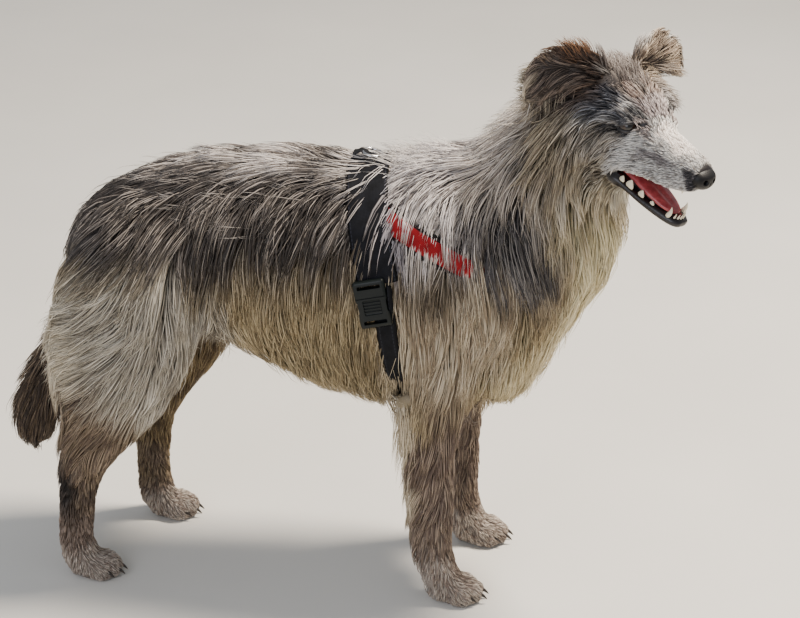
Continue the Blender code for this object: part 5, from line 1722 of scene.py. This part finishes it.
def nose_shape(places):
    """The ball's unit places made into the nose, from its middle, in head sizes."""
    x, y, z = places.T
    x = np.sign(x) * np.abs(x) ** 0.78
    y = np.sign(y) * np.abs(y) ** 0.88 * (1 - 0.22 * ease(-z, 0.0, 1.0))
    z = np.sign(z) * np.abs(z) ** 0.85
    shaped = np.stack([x, y, z], axis=1) * NOSE_SIZE
    shaped[:, 2] *= np.where(z > 0, 0.86, 1.0)
    shaped[:, 2] -= 0.0016 * ease(shaped[:, 0], 0.004, 0.013) * ease(shaped[:, 2], 0, 0.01)
    for sign in (1, -1):
        hole, corner = NOSTRIL * (1, sign, 1), SLIT_END * (1, sign, 1)
        gap = np.linalg.norm((shaped - hole) * (0.5, 1, 1), axis=1)
        dent = NOSTRIL_DEEP * (1 - ease(gap, NOSTRIL_WIDE * 0.35, NOSTRIL_WIDE))
        gap, along = to_segment(shaped, hole, corner)
        slit = SLIT_DEEP * (1 - 0.6 * along) * (1 - ease(gap, SLIT_WIDE * 0.3, SLIT_WIDE))
        inwards = unit(np.array([-1.0, -0.35 * sign, 0.25]))
        shaped = shaped + np.maximum(dent, slit)[:, None] * inwards
    groove = PHILTRUM_DEEP * (1 - ease(np.abs(shaped[:, 1]), 0, PHILTRUM_WIDE))
    groove *= ease(-shaped[:, 2], 0.0005, 0.0035) * ease(shaped[:, 0], 0.0, 0.004)
    shaped[:, 0] -= groove
    return shaped


# bare, pebbled, slightly moist skin: nearly black, with a broken gleam
nose_leather, leather_tree, leather_shader = finish_named(
    "nose_leather", Base_Color="#0c0b0d", Roughness=0.46, Specular_IOR_Level=0.28
)
PEBBLE = 0.0011  # metres; a real one is half as wide, which would not show
coords = add(leather_tree, "TexCoord").outputs["Object"]
pebbles = add(leather_tree, "TexVoronoi", {"Vector": coords, "Scale": 1 / PEBBLE})
relief = {"Height": pebbles, "Strength": 0.45, "Distance": 0.0003}
plug(leather_shader, {"Normal": add(leather_tree, "Bump", relief, invert=True)})
select()
bpy.ops.mesh.primitive_uv_sphere_add(segments=120, ring_count=80, radius=1.0)
nose = named("nose_leather", nose_leather, "nose_leather", "nose")
set_places(nose.data, from_head(NOSE_PLACE + nose_shape(places_of(nose.data))))
nose.data.shade_smooth()
print("nose:", len(nose.data.vertices), "points")

# %% [markdown]
# ## Tongue and teeth
#
# The tongue is a flat tapering loft with a groove along its middle, lying in the open lower
# jaw. The teeth are cones with rounded tips: small incisors, long curved canines and, behind
# them, cheek teeth that are long from front to back and thin across.

# %% Tongue
TONGUE = [
    (-36, -40, 11, 4, 4),
    (-18, -39.5, 15, 4.8, 4),
    (4, -40, 15.8, 5, 3.6),
    (24, -41.6, 16, 4.6, 3.4),
    (42, -43.2, 13.7, 3.8, 3),
    (53, -44, 10.2, 3, 2.4),
    (59, -44.4, 6.4, 1.8, 1.6),
    (61.2, -44, 2.2, 0.8, 0.8),
]
GROOVE_DEEP, GROOVE_WIDE = 0.0014, 0.003
# wet flesh with fine buds: a soft gleam over blotchy red
tongue_finish, tongue_tree, tongue_shader = finish_named(
    "tongue", Base_Color="#b8454b", Roughness=0.34, Coat_Weight=0.4, Coat_Roughness=0.2
)
BUD, BLOTCH = 0.0009, 0.00625  # metres between the small bumps and between the blotches
coords = add(tongue_tree, "TexCoord").outputs["Object"]
buds = add(tongue_tree, "TexVoronoi", {"Vector": coords, "Scale": 1 / BUD})
relief = {"Height": buds, "Strength": 0.35, "Distance": 0.0003}
blotch = add(tongue_tree, "TexNoise", {"Vector": coords, "Scale": 1 / BLOTCH, "Detail": 3.0})
blush = add(tongue_tree, "ValToRGB", {"Fac": blotch}, [(0.35, "#8a3036"), (0.68, "#b44c4e")])
raised = add(tongue_tree, "Bump", relief, invert=True)
plug(tongue_shader, {"Base Color": blush, "Normal": raised})


def of_lofts(name, shapes, finish, slot, *nodes):
    """One smooth piece from lofts given as (points, faces) in the row's frame."""
    made = joined(name, [bmesh_of(points, faces) for points, faces in shapes])
    made.data.materials.append(finish)
    made.data.shade_smooth()
    fit(made, slot, *nodes)


stations = in_mm(TONGUE)
points, faces = loft(stations, steps=6, squareness=0.75, sides=40)
above = points[:, 2] > np.interp(points[:, 0], *stations[:, [0, 2]].T)
sunk = GROOVE_DEEP * (1 - ease(np.abs(points[:, 1]), 0, GROOVE_WIDE))
sunk *= 1 - ease(points[:, 0], 0.045, 0.06)
points[:, 2] -= np.where(above, sunk, 0)
shape = (from_head(opened(points)), faces)
of_lofts("tongue_flesh", [shape], tongue_finish, "tongue", "tongue")
print("tongue:", len(points), "points")

# %% Teeth
# the left side's, in mm of head coordinates: foot x, y, z; tip x, y, z; thick, long, bow
LOWER_TEETH = [
    (67.2, 1.6, -50, 68.4, 1.6, -40.5, 1.4, 1.3, 0),
    (66, 4.6, -50, 67.2, 4.6, -40.5, 1.4, 1.3, 0),
    (63.6, 7.4, -50, 64.8, 7.4, -40.5, 1.4, 1.3, 0),
    (57.5, 11.2, -48, 59, 12.4, -35, 2.2, 2.8, 1.6),
    (38, 15.6, -47, 38, 15.6, -42.8, 1.5, 3, 0),
    (23.5, 18.2, -47, 23.5, 18.2, -39.8, 1.5, 4.2, 0),
    (8, 20.4, -47, 8, 20.4, -38, 1.5, 5.2, 0),
    (-3, 21, -47, -3, 21, -40.6, 1.5, 3.6, 0),
]
UPPER_TEETH = [
    (69, 1.7, -41.5, 69, 1.7, -47.2, 1.5, 1.4, 0),
    (68, 4.9, -41.5, 68, 4.9, -47.2, 1.5, 1.4, 0),
    (61, 11.2, -41, 61.8, 11.4, -51.5, 2, 2.5, 1.2),
    (47, 14.6, -42, 47, 14.6, -48.8, 1.5, 3.8, 0),
    (36, 16.6, -42, 36, 16.6, -48.8, 1.5, 3.8, 0),
    (22, 18.6, -42, 22, 18.6, -48.8, 1.5, 3.8, 0),
    (8, 20, -42, 8, 20, -48.8, 1.5, 3.8, 0),
]
TOOTH_STEPS = [(0.0, 0.85), (0.18, 1.0), (0.5, 0.8), (0.8, 0.42), (0.95, 0.2), (1.0, 0.05)]
# enamel: glassy and slightly yellow, as in a grown dog
enamel = finish_named("tooth_enamel", Base_Color="#e4d9bf", Roughness=0.22, Coat_Weight=0.3)[0]


def tooth(foot, tip, thick, long, bow):
    """A cone from foot to tip, `thick` across the jaw and `long` along it, bowed backwards."""
    stations = []
    for share, wide in TOOTH_STEPS:
        x, y, z = foot + (tip - foot) * share
        x += bow * math.sin(math.pi * share)
        stations.append((x, y, z, thick * wide, long * wide, long * wide))
    return loft(stations, steps=2, sides=14)


def teeth(rows):
    """A jaw's teeth on both its sides."""
    made = []
    for sign in (-1, 1):
        for row in in_mm(rows, midline=False):
            foot, tip = row[:6].reshape(2, 3) * (1, sign, 1)
            made.append(tooth(foot, tip, *row[6:]))
    return made


lower = [(from_head(opened(points)), faces) for points, faces in teeth(LOWER_TEETH)]
upper = [(from_head(points), faces) for points, faces in teeth(UPPER_TEETH)]
of_lofts("teeth_lower", lower, enamel, "tongue")
of_lofts("teeth_upper", upper, enamel, "tongue")
print("teeth:", len(lower) + len(upper))

# %% [markdown]
# ## Claws
#
# Four claws show on each paw. Each solid's box gives where its claw starts and ends, and a
# smooth, curved, blunt cone goes in its place.

# %% Claws
CLAW_STEPS = [(0, 0.95), (0.25, 1.0), (0.55, 0.82), (0.8, 0.52), (0.95, 0.26), (1, 0.08)]
STREAK = 0.0025  # metres
# horn: dark, worn to a dull polish, with paler streaks in it
horn, horn_tree, horn_shader = finish_named("claw_horn", Base_Color="#221d1a", Roughness=0.34)
coords = add(horn_tree, "TexCoord").outputs["Object"]
grain = add(horn_tree, "TexNoise", {"Vector": coords, "Scale": 1 / STREAK, "Detail": 2.0})
tint = add(horn_tree, "ValToRGB", {"Fac": grain}, [(0, "#15110f"), (1, "#3b322c")])
plug(horn_shader, {"Base Color": tint})


def claw(node):
    """A curved cone through the solid's box, as deep as the box at its back end."""
    low, high = (np.array(corner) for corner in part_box(node))
    y, long = (low[1] + high[1]) / 2, high[0] - low[0]
    wide, tall = (high[1] - low[1]) / 2, high[2] - low[2]
    stations = []
    for share, size in CLAW_STEPS:
        z = high[2] - tall * (0.22 + 0.62 * share**1.6)
        stations.append((low[0] + long * share, y, z, wide * size, wide * size, wide * size))
    return loft(stations, steps=3, sides=16)


claws = sorted(name for name in frame["nodes"] if name.startswith("claw_"))
for node in claws:
    of_lofts(node.replace("claw", "nail"), [claw(node)], horn, "claw", node)
print("claws:", len(claws))

# %% [markdown]
# ## The harness
#
# A dark webbing saddle goes over the back, a narrower girth closes it under the chest, and a
# padded red band with a black binding goes round the breast. To lay each strap exactly where
# its solid is, rays are cast at the solid from all round the body, in several lanes across the
# strap. Where they hit is the strap's outer face, which is then given a thickness and a slightly
# crowned section, as folded and sewn webbing has.


# %% Lay a strap over its solid
LANES, RAY_FROM = 9, 0.45


def strap_rows(node, at, across, toward, half, turn, rows, lift=0.0, sink=0.0):
    """Outer face of a strap as (rows, lanes, 3), from rays towards the middle of its plane."""
    body = cad_body(node)
    tree = BVHTree.FromBMesh(body)
    body.free()
    across, toward = np.array(across), np.array(toward)
    aside = np.cross(across, toward)
    angles = np.linspace(-turn, turn, rows)
    offsets = np.linspace(-half * 0.96, half * 0.96, LANES)
    reach = np.full((rows, LANES), np.nan)
    rays = np.cos(angles)[:, None] * toward + np.sin(angles)[:, None] * aside
    for i, ray in enumerate(rays):
        for j, offset in enumerate(offsets):
            start = np.array(at) + BODY_AT + across * offset + ray * RAY_FROM
            hit = tree.ray_cast(start, -ray)
            if hit[0] is not None and hit[3] < RAY_FROM:  # this side's face, not the far one
                reach[i, j] = RAY_FROM - hit[3]
    whole = np.flatnonzero(~np.isnan(reach).all(axis=1))
    kept = slice(whole[0], whole[-1] + 1)
    reach, rays = reach[kept], rays[kept]
    for lane in reach.T:
        found = np.flatnonzero(~np.isnan(lane))
        lane[:] = np.interp(np.arange(len(lane)), found, lane[found])
    for _ in range(6):
        reach[1:-1] = (reach[:-2] + 2 * reach[1:-1] + reach[2:]) / 4
    centre = np.array(at) + BODY_AT + offsets[:, None] * across
    made = centre[None] + rays[:, None] * reach[..., None]
    deeper = lift - sink * ease(made[..., 0] - BODY_AT[0], *RUFF_FROM)
    return made + rays[:, None] * deeper[..., None]


# %% [markdown]
# The outer face gets a thickness, a crown along its middle and rounded edges. Every point
# remembers how far along and across the strap it is, which the finish reads.



# %% Webbing from a strap's rows
def webbing(name, grid, thick, crown, finish, slot, *nodes):
    """A closed strap. Its points keep their metres along and across it as `weave`."""
    rows, lanes, _ = grid.shape
    along = np.gradient(grid, axis=0)
    facing = unit(np.cross(np.gradient(grid, axis=1), along))
    outwards = grid - grid.mean(axis=(0, 1))
    facing *= np.sign((facing * outwards).sum(axis=2).mean())
    across = np.linspace(-1, 1, lanes)
    raise_by = crown * (1 - across**2) - thick * 0.35 * np.abs(across) ** 8
    outer = grid + facing * raise_by[None, :, None]
    inner = grid - facing * thick
    points = np.concatenate([outer, inner[:, ::-1]], axis=1)
    run = np.cumsum(np.append(0, np.linalg.norm(np.diff(grid[:, lanes // 2], axis=0), axis=1)))
    width = np.linalg.norm(grid[0, -1] - grid[0, 0])
    side = np.concatenate([across, across[::-1]]) * width / 2
    made = joined(name, [bmesh_of(points.reshape(-1, 3), tube_faces(rows, 2 * lanes))])
    weave = np.zeros((rows, 2 * lanes, 3))
    weave[..., 0], weave[..., 1] = run[:, None], side[None]
    store(made.data, "weave", "FLOAT_VECTOR", weave)
    made.data.materials.append(finish)
    modify(made, "SUBSURF", levels=1, render_levels=1)
    made.data.shade_smooth()
    fit(made, slot, *nodes)
    print(name, "runs", round(run[-1] * 1000), "mm")


# %% [markdown]
# The webbing's look is worked out from the metres along and across it: crossed threads, with
# painted shade in the hollows between them, a bound edge, and dashes of stitching at a fixed
# distance from each edge.


# %% Finish of the webbing
THREAD, STITCH, SEAM_IN, SEAM_HALF = 0.0016, 0.0045, 0.0042, 0.0006  # metres
STITCH_SHARE = 0.68  # how much of each step of the seam is thread
WAVE = 0.314  # a wave texture of scale 1 comes back after this length
WEAR = 90.0  # rubbed patches in a metre


def woven(name, base, edge, thread, half, binding):
    """Woven nylon: matt, because its threads shade each other, with a bound, stitched edge."""
    finish, tree, shader = finish_named(name, Roughness=0.78, Specular_IOR_Level=0.15)
    weave = add(tree, "Attribute", attribute_name="weave").outputs["Vector"]
    parts = add(tree, "SeparateXYZ", (weave,))
    across = add(tree, "Math", (parts.outputs["Y"],), operation="ABSOLUTE")
    warp, weft = [
        add(tree, "TexWave", {"Vector": weave, "Scale": WAVE / THREAD}, bands_direction=way)
        for way in "XY"
    ]
    cloth = add(tree, "Math", (warp.outputs["Fac"], weft.outputs["Fac"]), operation="MULTIPLY")
    gap = add(tree, "Math", (across, half - SEAM_IN), operation="SUBTRACT")
    gap = add(tree, "Math", (gap,), operation="ABSOLUTE")
    on_seam = add(tree, "Math", (gap, SEAM_HALF), operation="LESS_THAN")
    dash = add(tree, "Math", (parts.outputs["X"], STITCH), operation="DIVIDE")
    dash = add(tree, "Math", (dash,), operation="FRACT")
    dash = add(tree, "Math", (dash, STITCH_SHARE), operation="LESS_THAN")
    stitched = add(tree, "Math", (on_seam, dash), operation="MULTIPLY")
    bound = add(tree, "Math", (across, half - binding), operation="GREATER_THAN")
    worn = add(tree, "TexNoise", {"Vector": weave, "Scale": WEAR, "Detail": 4.0})
    tint = add(tree, "ValToRGB", {"Fac": worn}, list(zip((0.3, 0.75), base)))
    edged = add(tree, "MixRGB", {"Fac": bound, "Color1": tint, "Color2": edge})
    # painted shade: the hollows between the threads are darkened
    hollow = add(tree, "Math", (cloth, 0.45), operation="MULTIPLY")
    dark = add(tree, "MixRGB", {"Fac": hollow, "Color1": edged, "Color2": "#000000"})
    full = add(tree, "MixRGB", {"Fac": stitched, "Color1": dark, "Color2": thread})
    proud = add(tree, "Math", (stitched, 1.5), operation="MULTIPLY")
    height = add(tree, "Math", (cloth, proud), operation="ADD")
    relief = add(tree, "Bump", {"Height": height, "Strength": 0.5, "Distance": 0.0004})
    plug(shader, {"Base Color": full, "Normal": relief})
    return finish


# %% [markdown]
# Each strap gets a width, a thickness and colours of its own. The point from which its rays
# turn, and how far they turn, are chosen so that they reach both of its ends.


# %% The three straps
def in_plane(tilt_vector):
    """The upright direction in the cross plane with this normal."""
    x, _, z = tilt_vector
    return np.array([-z, 0.0, x])


saddle_web = woven(
    "webbing_nylon_dark", ("#0c0c10", "#191a20"), "#08080b", "#2c2d36", 0.025, 0.003
)
girth_web = woven(
    "webbing_nylon_girth", ("#0b0b0e", "#17181c"), "#08080a", "#26272c", 0.0125, 0.0015
)
band_pad = woven("padded_red_band", ("#6c0c13", "#98151d"), "#0d0c0e", "#2a1516", 0.0165, 0.0062)
(saddle_across, saddle_at, saddle_half, _), girth_plane, band_plane = STRAPS_PLACED
up = in_plane(saddle_across)
webbing(
    "saddle_strap",
    strap_rows(
        "harness_saddle", np.array(saddle_at) - 0.105 * up, saddle_across, up, saddle_half, 2.0, 120
    ),
    0.0028, 0.001, saddle_web, "webbing", "harness_saddle",
)
up = in_plane(girth_plane[0])
webbing(
    "girth_strap",
    strap_rows(
        "harness_girth", np.array(girth_plane[1]) - 0.06 * up, girth_plane[0], -up,
        girth_plane[2], 2.6, 120, lift=0.0035,
    ),
    0.0026, 0.0004, girth_web, "webbing", "harness_girth",
)
ahead = -in_plane(band_plane[0])
webbing(
    "breast_band",
    strap_rows(
        "harness_chest_band", band_plane[1], band_plane[0], ahead, band_plane[2], 2.6, 160,
        sink=0.01,
    ),
    0.003, 0.0016, band_pad, "red_fabric", "harness_chest_band",
)

# %% [markdown]
# Each buckle is moulded in one dark plastic: a frame with a slot for the webbing at both ends,
# two press-in arms at its sides and a few finger ribs. It starts as a cube, which is bevelled,
# and then the slots and notches are cut from it.


# %% Buckles
BUCKLE = Vector((0.036, 0.0105, 0.054))
GRAIN = 1800.0  # grains in a metre; a real mould has twice as many, which would not show
# moulded acetal: dark, with the fine grain of its mould, which breaks its gloss
nylon, nylon_tree, nylon_shader = finish_named(
    "moulded_acetal", Base_Color="#0e1312", Roughness=0.38, Specular_IOR_Level=0.25
)
coords = add(nylon_tree, "TexCoord").outputs["Object"]
spark = add(nylon_tree, "TexNoise", {"Vector": coords, "Scale": GRAIN})
grained = add(nylon_tree, "Bump", {"Height": spark, "Strength": 0.12, "Distance": 0.0002})
plug(nylon_shader, {"Normal": grained})


def block(size, at=(0, 0, 0), bevel=0.0, segments=3):
    """A cube of this size, its edges bevelled in edit mode."""
    select()
    bpy.ops.mesh.primitive_cube_add(size=1.0, location=at)
    made = bpy.context.object
    made.scale = size
    settle(made)
    if bevel:
        bpy.ops.object.mode_set(mode="EDIT")
        bpy.ops.mesh.select_all(action="SELECT")
        bpy.ops.mesh.bevel(offset=bevel, segments=segments, profile=0.5)
        bpy.ops.object.mode_set(mode="OBJECT")
    return made


def carve(thing, cutter, operation="DIFFERENCE"):
    modify(thing, "BOOLEAN", object=cutter, operation=operation, solver="EXACT")
    bpy.data.objects.remove(cutter)


def buckle_body():
    body = block(BUCKLE, bevel=0.0032, segments=4)
    for z in (-0.0195, 0.0205):  # slots for the webbing
        carve(body, block((0.0262, 0.02, 0.0042), (0, 0, z), 0.0012))
    for x in (-0.0192, 0.0192):  # notches where the arms are pressed
        carve(body, block((0.0064, 0.02, 0.015), (x, 0, 0.0035), 0.0022))
    carve(body, block((0.05, 0.004, 0.0011), (0, BUCKLE.y / 2, -0.0075)))  # parting line
    carve(body, block((0.02, 0.003, 0.017), (0, BUCKLE.y / 2, 0.0035), 0.0012))
    for z in (-0.0015, 0.002, 0.0055, 0.009):  # finger ribs in the sunk panel
        carve(body, block((0.019, 0.0022, 0.0013), (0, BUCKLE.y / 2 - 0.001, z)), "UNION")
    return body


def buckle_axes(node):
    """The solid's own axes, as columns ahead, out and down, from the spread of its points."""
    points = places_of(frame["nodes"][node].data)
    _, _, axes = np.linalg.svd(points - points.mean(axis=0), full_matrices=False)
    down, ahead, out = axes
    out *= np.sign(out[1] * (points.mean(axis=0) - BODY_AT)[1])
    down *= -np.sign(down[2])
    ahead = np.cross(out, down)
    return Matrix(np.stack([ahead, out, down], axis=1).tolist())


for side in ("left", "right"):
    node = f"harness_buckle_{side}"
    body = buckle_body()
    turn = buckle_axes(node).to_4x4()
    body.data.transform(Matrix.Translation(Vector(middle(node))) @ turn)
    select(body)
    bpy.ops.object.shade_smooth_by_angle(angle=math.radians(35))
    clasp = named(f"buckle_{side}", nylon, "plastic", node)
    print(clasp.name, "has", len(clasp.data.polygons), "faces")

# %% [markdown]
# The lead's ring is a polished steel wire ring. It lies on the saddle, held by a short loop of
# webbing.

# %% Ring and its loop
RING_RADIUS, RING_WIRE, RING_TILT = 0.011, 0.0018, math.radians(10)
# polished stainless steel: pale and mirror-like, but rubbed by use
steel = finish_named("polished_steel", Base_Color="#b4b5b8", Metallic=1.0, Roughness=0.22)[0]
ring_at = middle("harness_ring")
select()
bpy.ops.mesh.primitive_torus_add(
    major_radius=RING_RADIUS, minor_radius=RING_WIRE, major_segments=72, minor_segments=18,
    location=ring_at.tolist(), rotation=(0.0, RING_TILT, 0.0),
)
ring = named("lead_ring", steel, "steel", "harness_ring")
settle(ring)
ring.data.shade_smooth()
LOOP_LONG, LOOP_HALF, LOOP_FOOT, LOOP_RISE = 0.0105, 0.0085, 0.0034, 0.0052
run = np.linspace(-1, 1, 17)[:, None]
arch = np.zeros((17, LANES, 3))
arch[..., 0] = ring_at[0] - RING_RADIUS + LOOP_LONG * run
arch[..., 1] = ring_at[1] + LOOP_HALF * np.linspace(-1, 1, LANES)
arch[..., 2] = ring_at[2] - LOOP_FOOT + LOOP_RISE * np.exp(-((run * 1.9) ** 2))
arch[..., 2] += (ring_at[0] - arch[..., 0]) * math.tan(RING_TILT)
webbing("ring_loop", arch, 0.0016, 0.0004, girth_web, "webbing")

# %% [markdown]
# ## The skin's paint
#
# Under the coat the skin has the coat's own markings, darker: partly as the darker undercoat,
# partly as painted shade, so that gaps in the coat read as shadowed underfur. The rims of the
# lids, the lips and the edge of the nose are black and moist. The lining of the mouth is a dark
# wet red.

# %% Paint the skin
# the skin is darker than the coat: partly undercoat, partly painted shade in the coat's gaps
SKIN_UNDERCOAT_AND_SHADE = 0.55
LIP_BAND, RIM_BAND = 0.0125, 0.0022  # width of the dark lower and upper lip


def skin_paint(places):
    """Colour and wetness of the skin at each place."""
    dark, light, part = markings(places)
    tone = (dark + (light - dark) * part[:, None]) * SKIN_UNDERCOAT_AND_SHADE
    gap, below = lip_distance(places)
    band = np.where(below, LIP_BAND, RIM_BAND)
    lip = 1 - ease(gap - band, -0.001, 0.0008)
    lid = 1 - ease(lid_distance(places), 0.0015, 0.0028)
    from_nose = np.linalg.norm(places - NOSE_AT, axis=1) / HEAD_SIZE
    rim = 1 - ease(from_nose, NOSE_CLEAR, NOSE_CLEAR + 0.002)
    sole = 1 - ease(places[:, 2], 0.003, 0.006)
    wet = np.maximum.reduce([lip, lid, rim])
    black = np.maximum(wet, sole)[:, None]
    return tone + (np.array(linear("#181314")) - tone) * black, wet


skin_tone, skin_wet = skin_paint(places_of(skin.data))
print("wet share of the skin's points:", round(float((skin_wet > 0.5).mean()), 3))
store(skin.data, "hair", "FLOAT_COLOR", np.hstack([skin_tone, np.ones((len(skin_tone), 1))]))
store(skin.data, "wet", "FLOAT", skin_wet)


# %% [markdown]
# Wet parts shine and dry skin doesn't. Fine creases and folds keep both from looking smooth.


# %% Finishes of the skin and the mouth
WRINKLE = 0.0014  # metres between the fine creases of lips and lids
FOLDS = 260.0  # in a metre of the gums
paint_read = add(skin_tree, "Attribute", attribute_name="hair")
wet_read = add(skin_tree, "Attribute", attribute_name="wet").outputs["Fac"]
rough = add(skin_tree, "MapRange", {"Value": wet_read, "To Min": 0.75, "To Max": 0.34})
coords = add(skin_tree, "TexCoord").outputs["Object"]
creases = add(skin_tree, "TexNoise", {"Vector": coords, "Scale": 1 / WRINKLE, "Detail": 3.0})
creased = add(skin_tree, "Bump", {"Height": creases, "Strength": 0.35, "Distance": 0.0004})
plug(skin_shader, {"Base Color": paint_read, "Roughness": rough, "Normal": creased})

coords = add(lining_tree, "TexCoord").outputs["Object"]
folds = add(lining_tree, "TexNoise", {"Vector": coords, "Scale": FOLDS, "Detail": 3.0})
gums = add(lining_tree, "ValToRGB", {"Fac": folds}, [(0.35, "#3a1416"), (0.7, "#7d3436")])
plug(lining_shader, {"Base Color": gums})
fit(skin, "coat", *FLESH)
bpy.data.objects.remove(outline)
bpy.data.objects.remove(ear_outline)

# %% [markdown]
# ## The studio
#
# The stand is a studio floor of smooth pale cement. A real one is never one flat grey: its
# skim coat is faintly cloudy and its polish varies, so the shadow on it looks like a shadow on
# something. A plane with one soft noise, which sets both its tint and its polish, gives that.
# The light is soft: a pale room, one large warm lamp high above and ahead for the bright
# topline, and one wide cool lamp on the near side so the dark side keeps its detail.

# %% Floor
FLOOR_HALF, CLOUD = 3.0, 0.35  # metres
select()
bpy.ops.mesh.primitive_plane_add(size=2 * FLOOR_HALF)
floor = bpy.context.active_object
floor.name = "floor"
# a cement skim coat: pale and matt, rubbed smoother in places
cement, cement_tree, cement_shader = finish_named("floor_cement", Roughness=0.7)
coords = add(cement_tree, "TexCoord").outputs["Object"]
cloud = add(cement_tree, "TexNoise", {"Vector": coords, "Scale": 1 / CLOUD, "Detail": 4.0})
tint = add(cement_tree, "ValToRGB", {"Fac": cloud}, [(0.3, "#d6d3cd"), (0.7, "#dcd9d3")])
polish = add(cement_tree, "MapRange", {"Value": cloud, "To Min": 0.62, "To Max": 0.78})
plug(cement_shader, {"Base Color": tint, "Roughness": polish})
floor.data.materials.append(cement)

# %% Light
world = bpy.data.worlds.new("studio")
bpy.context.scene.world = world
world.use_nodes = True
plug(world.node_tree.nodes["Background"], {"Color": "#e8ecf0", "Strength": 0.55})


def lamp(name, place, size, power, color):
    """A square soft lamp, aimed at the middle of the dog."""
    light = bpy.data.lights.new(name, "AREA")
    light.size, light.energy, light.color = size, power, linear(color)
    made = bpy.data.objects.new(name, light)
    made.location = place
    made.rotation_euler = (Vector(place) - AIM).to_track_quat("Z", "Y").to_euler()
    bpy.context.scene.collection.objects.link(made)


lamp("high_lamp", (1.2, 0.5, 2.8), 0.7, 215, "#fff3e2")
lamp("side_lamp", (-0.9, -2.8, 1.6), 2.0, 44, "#f2f5ff")
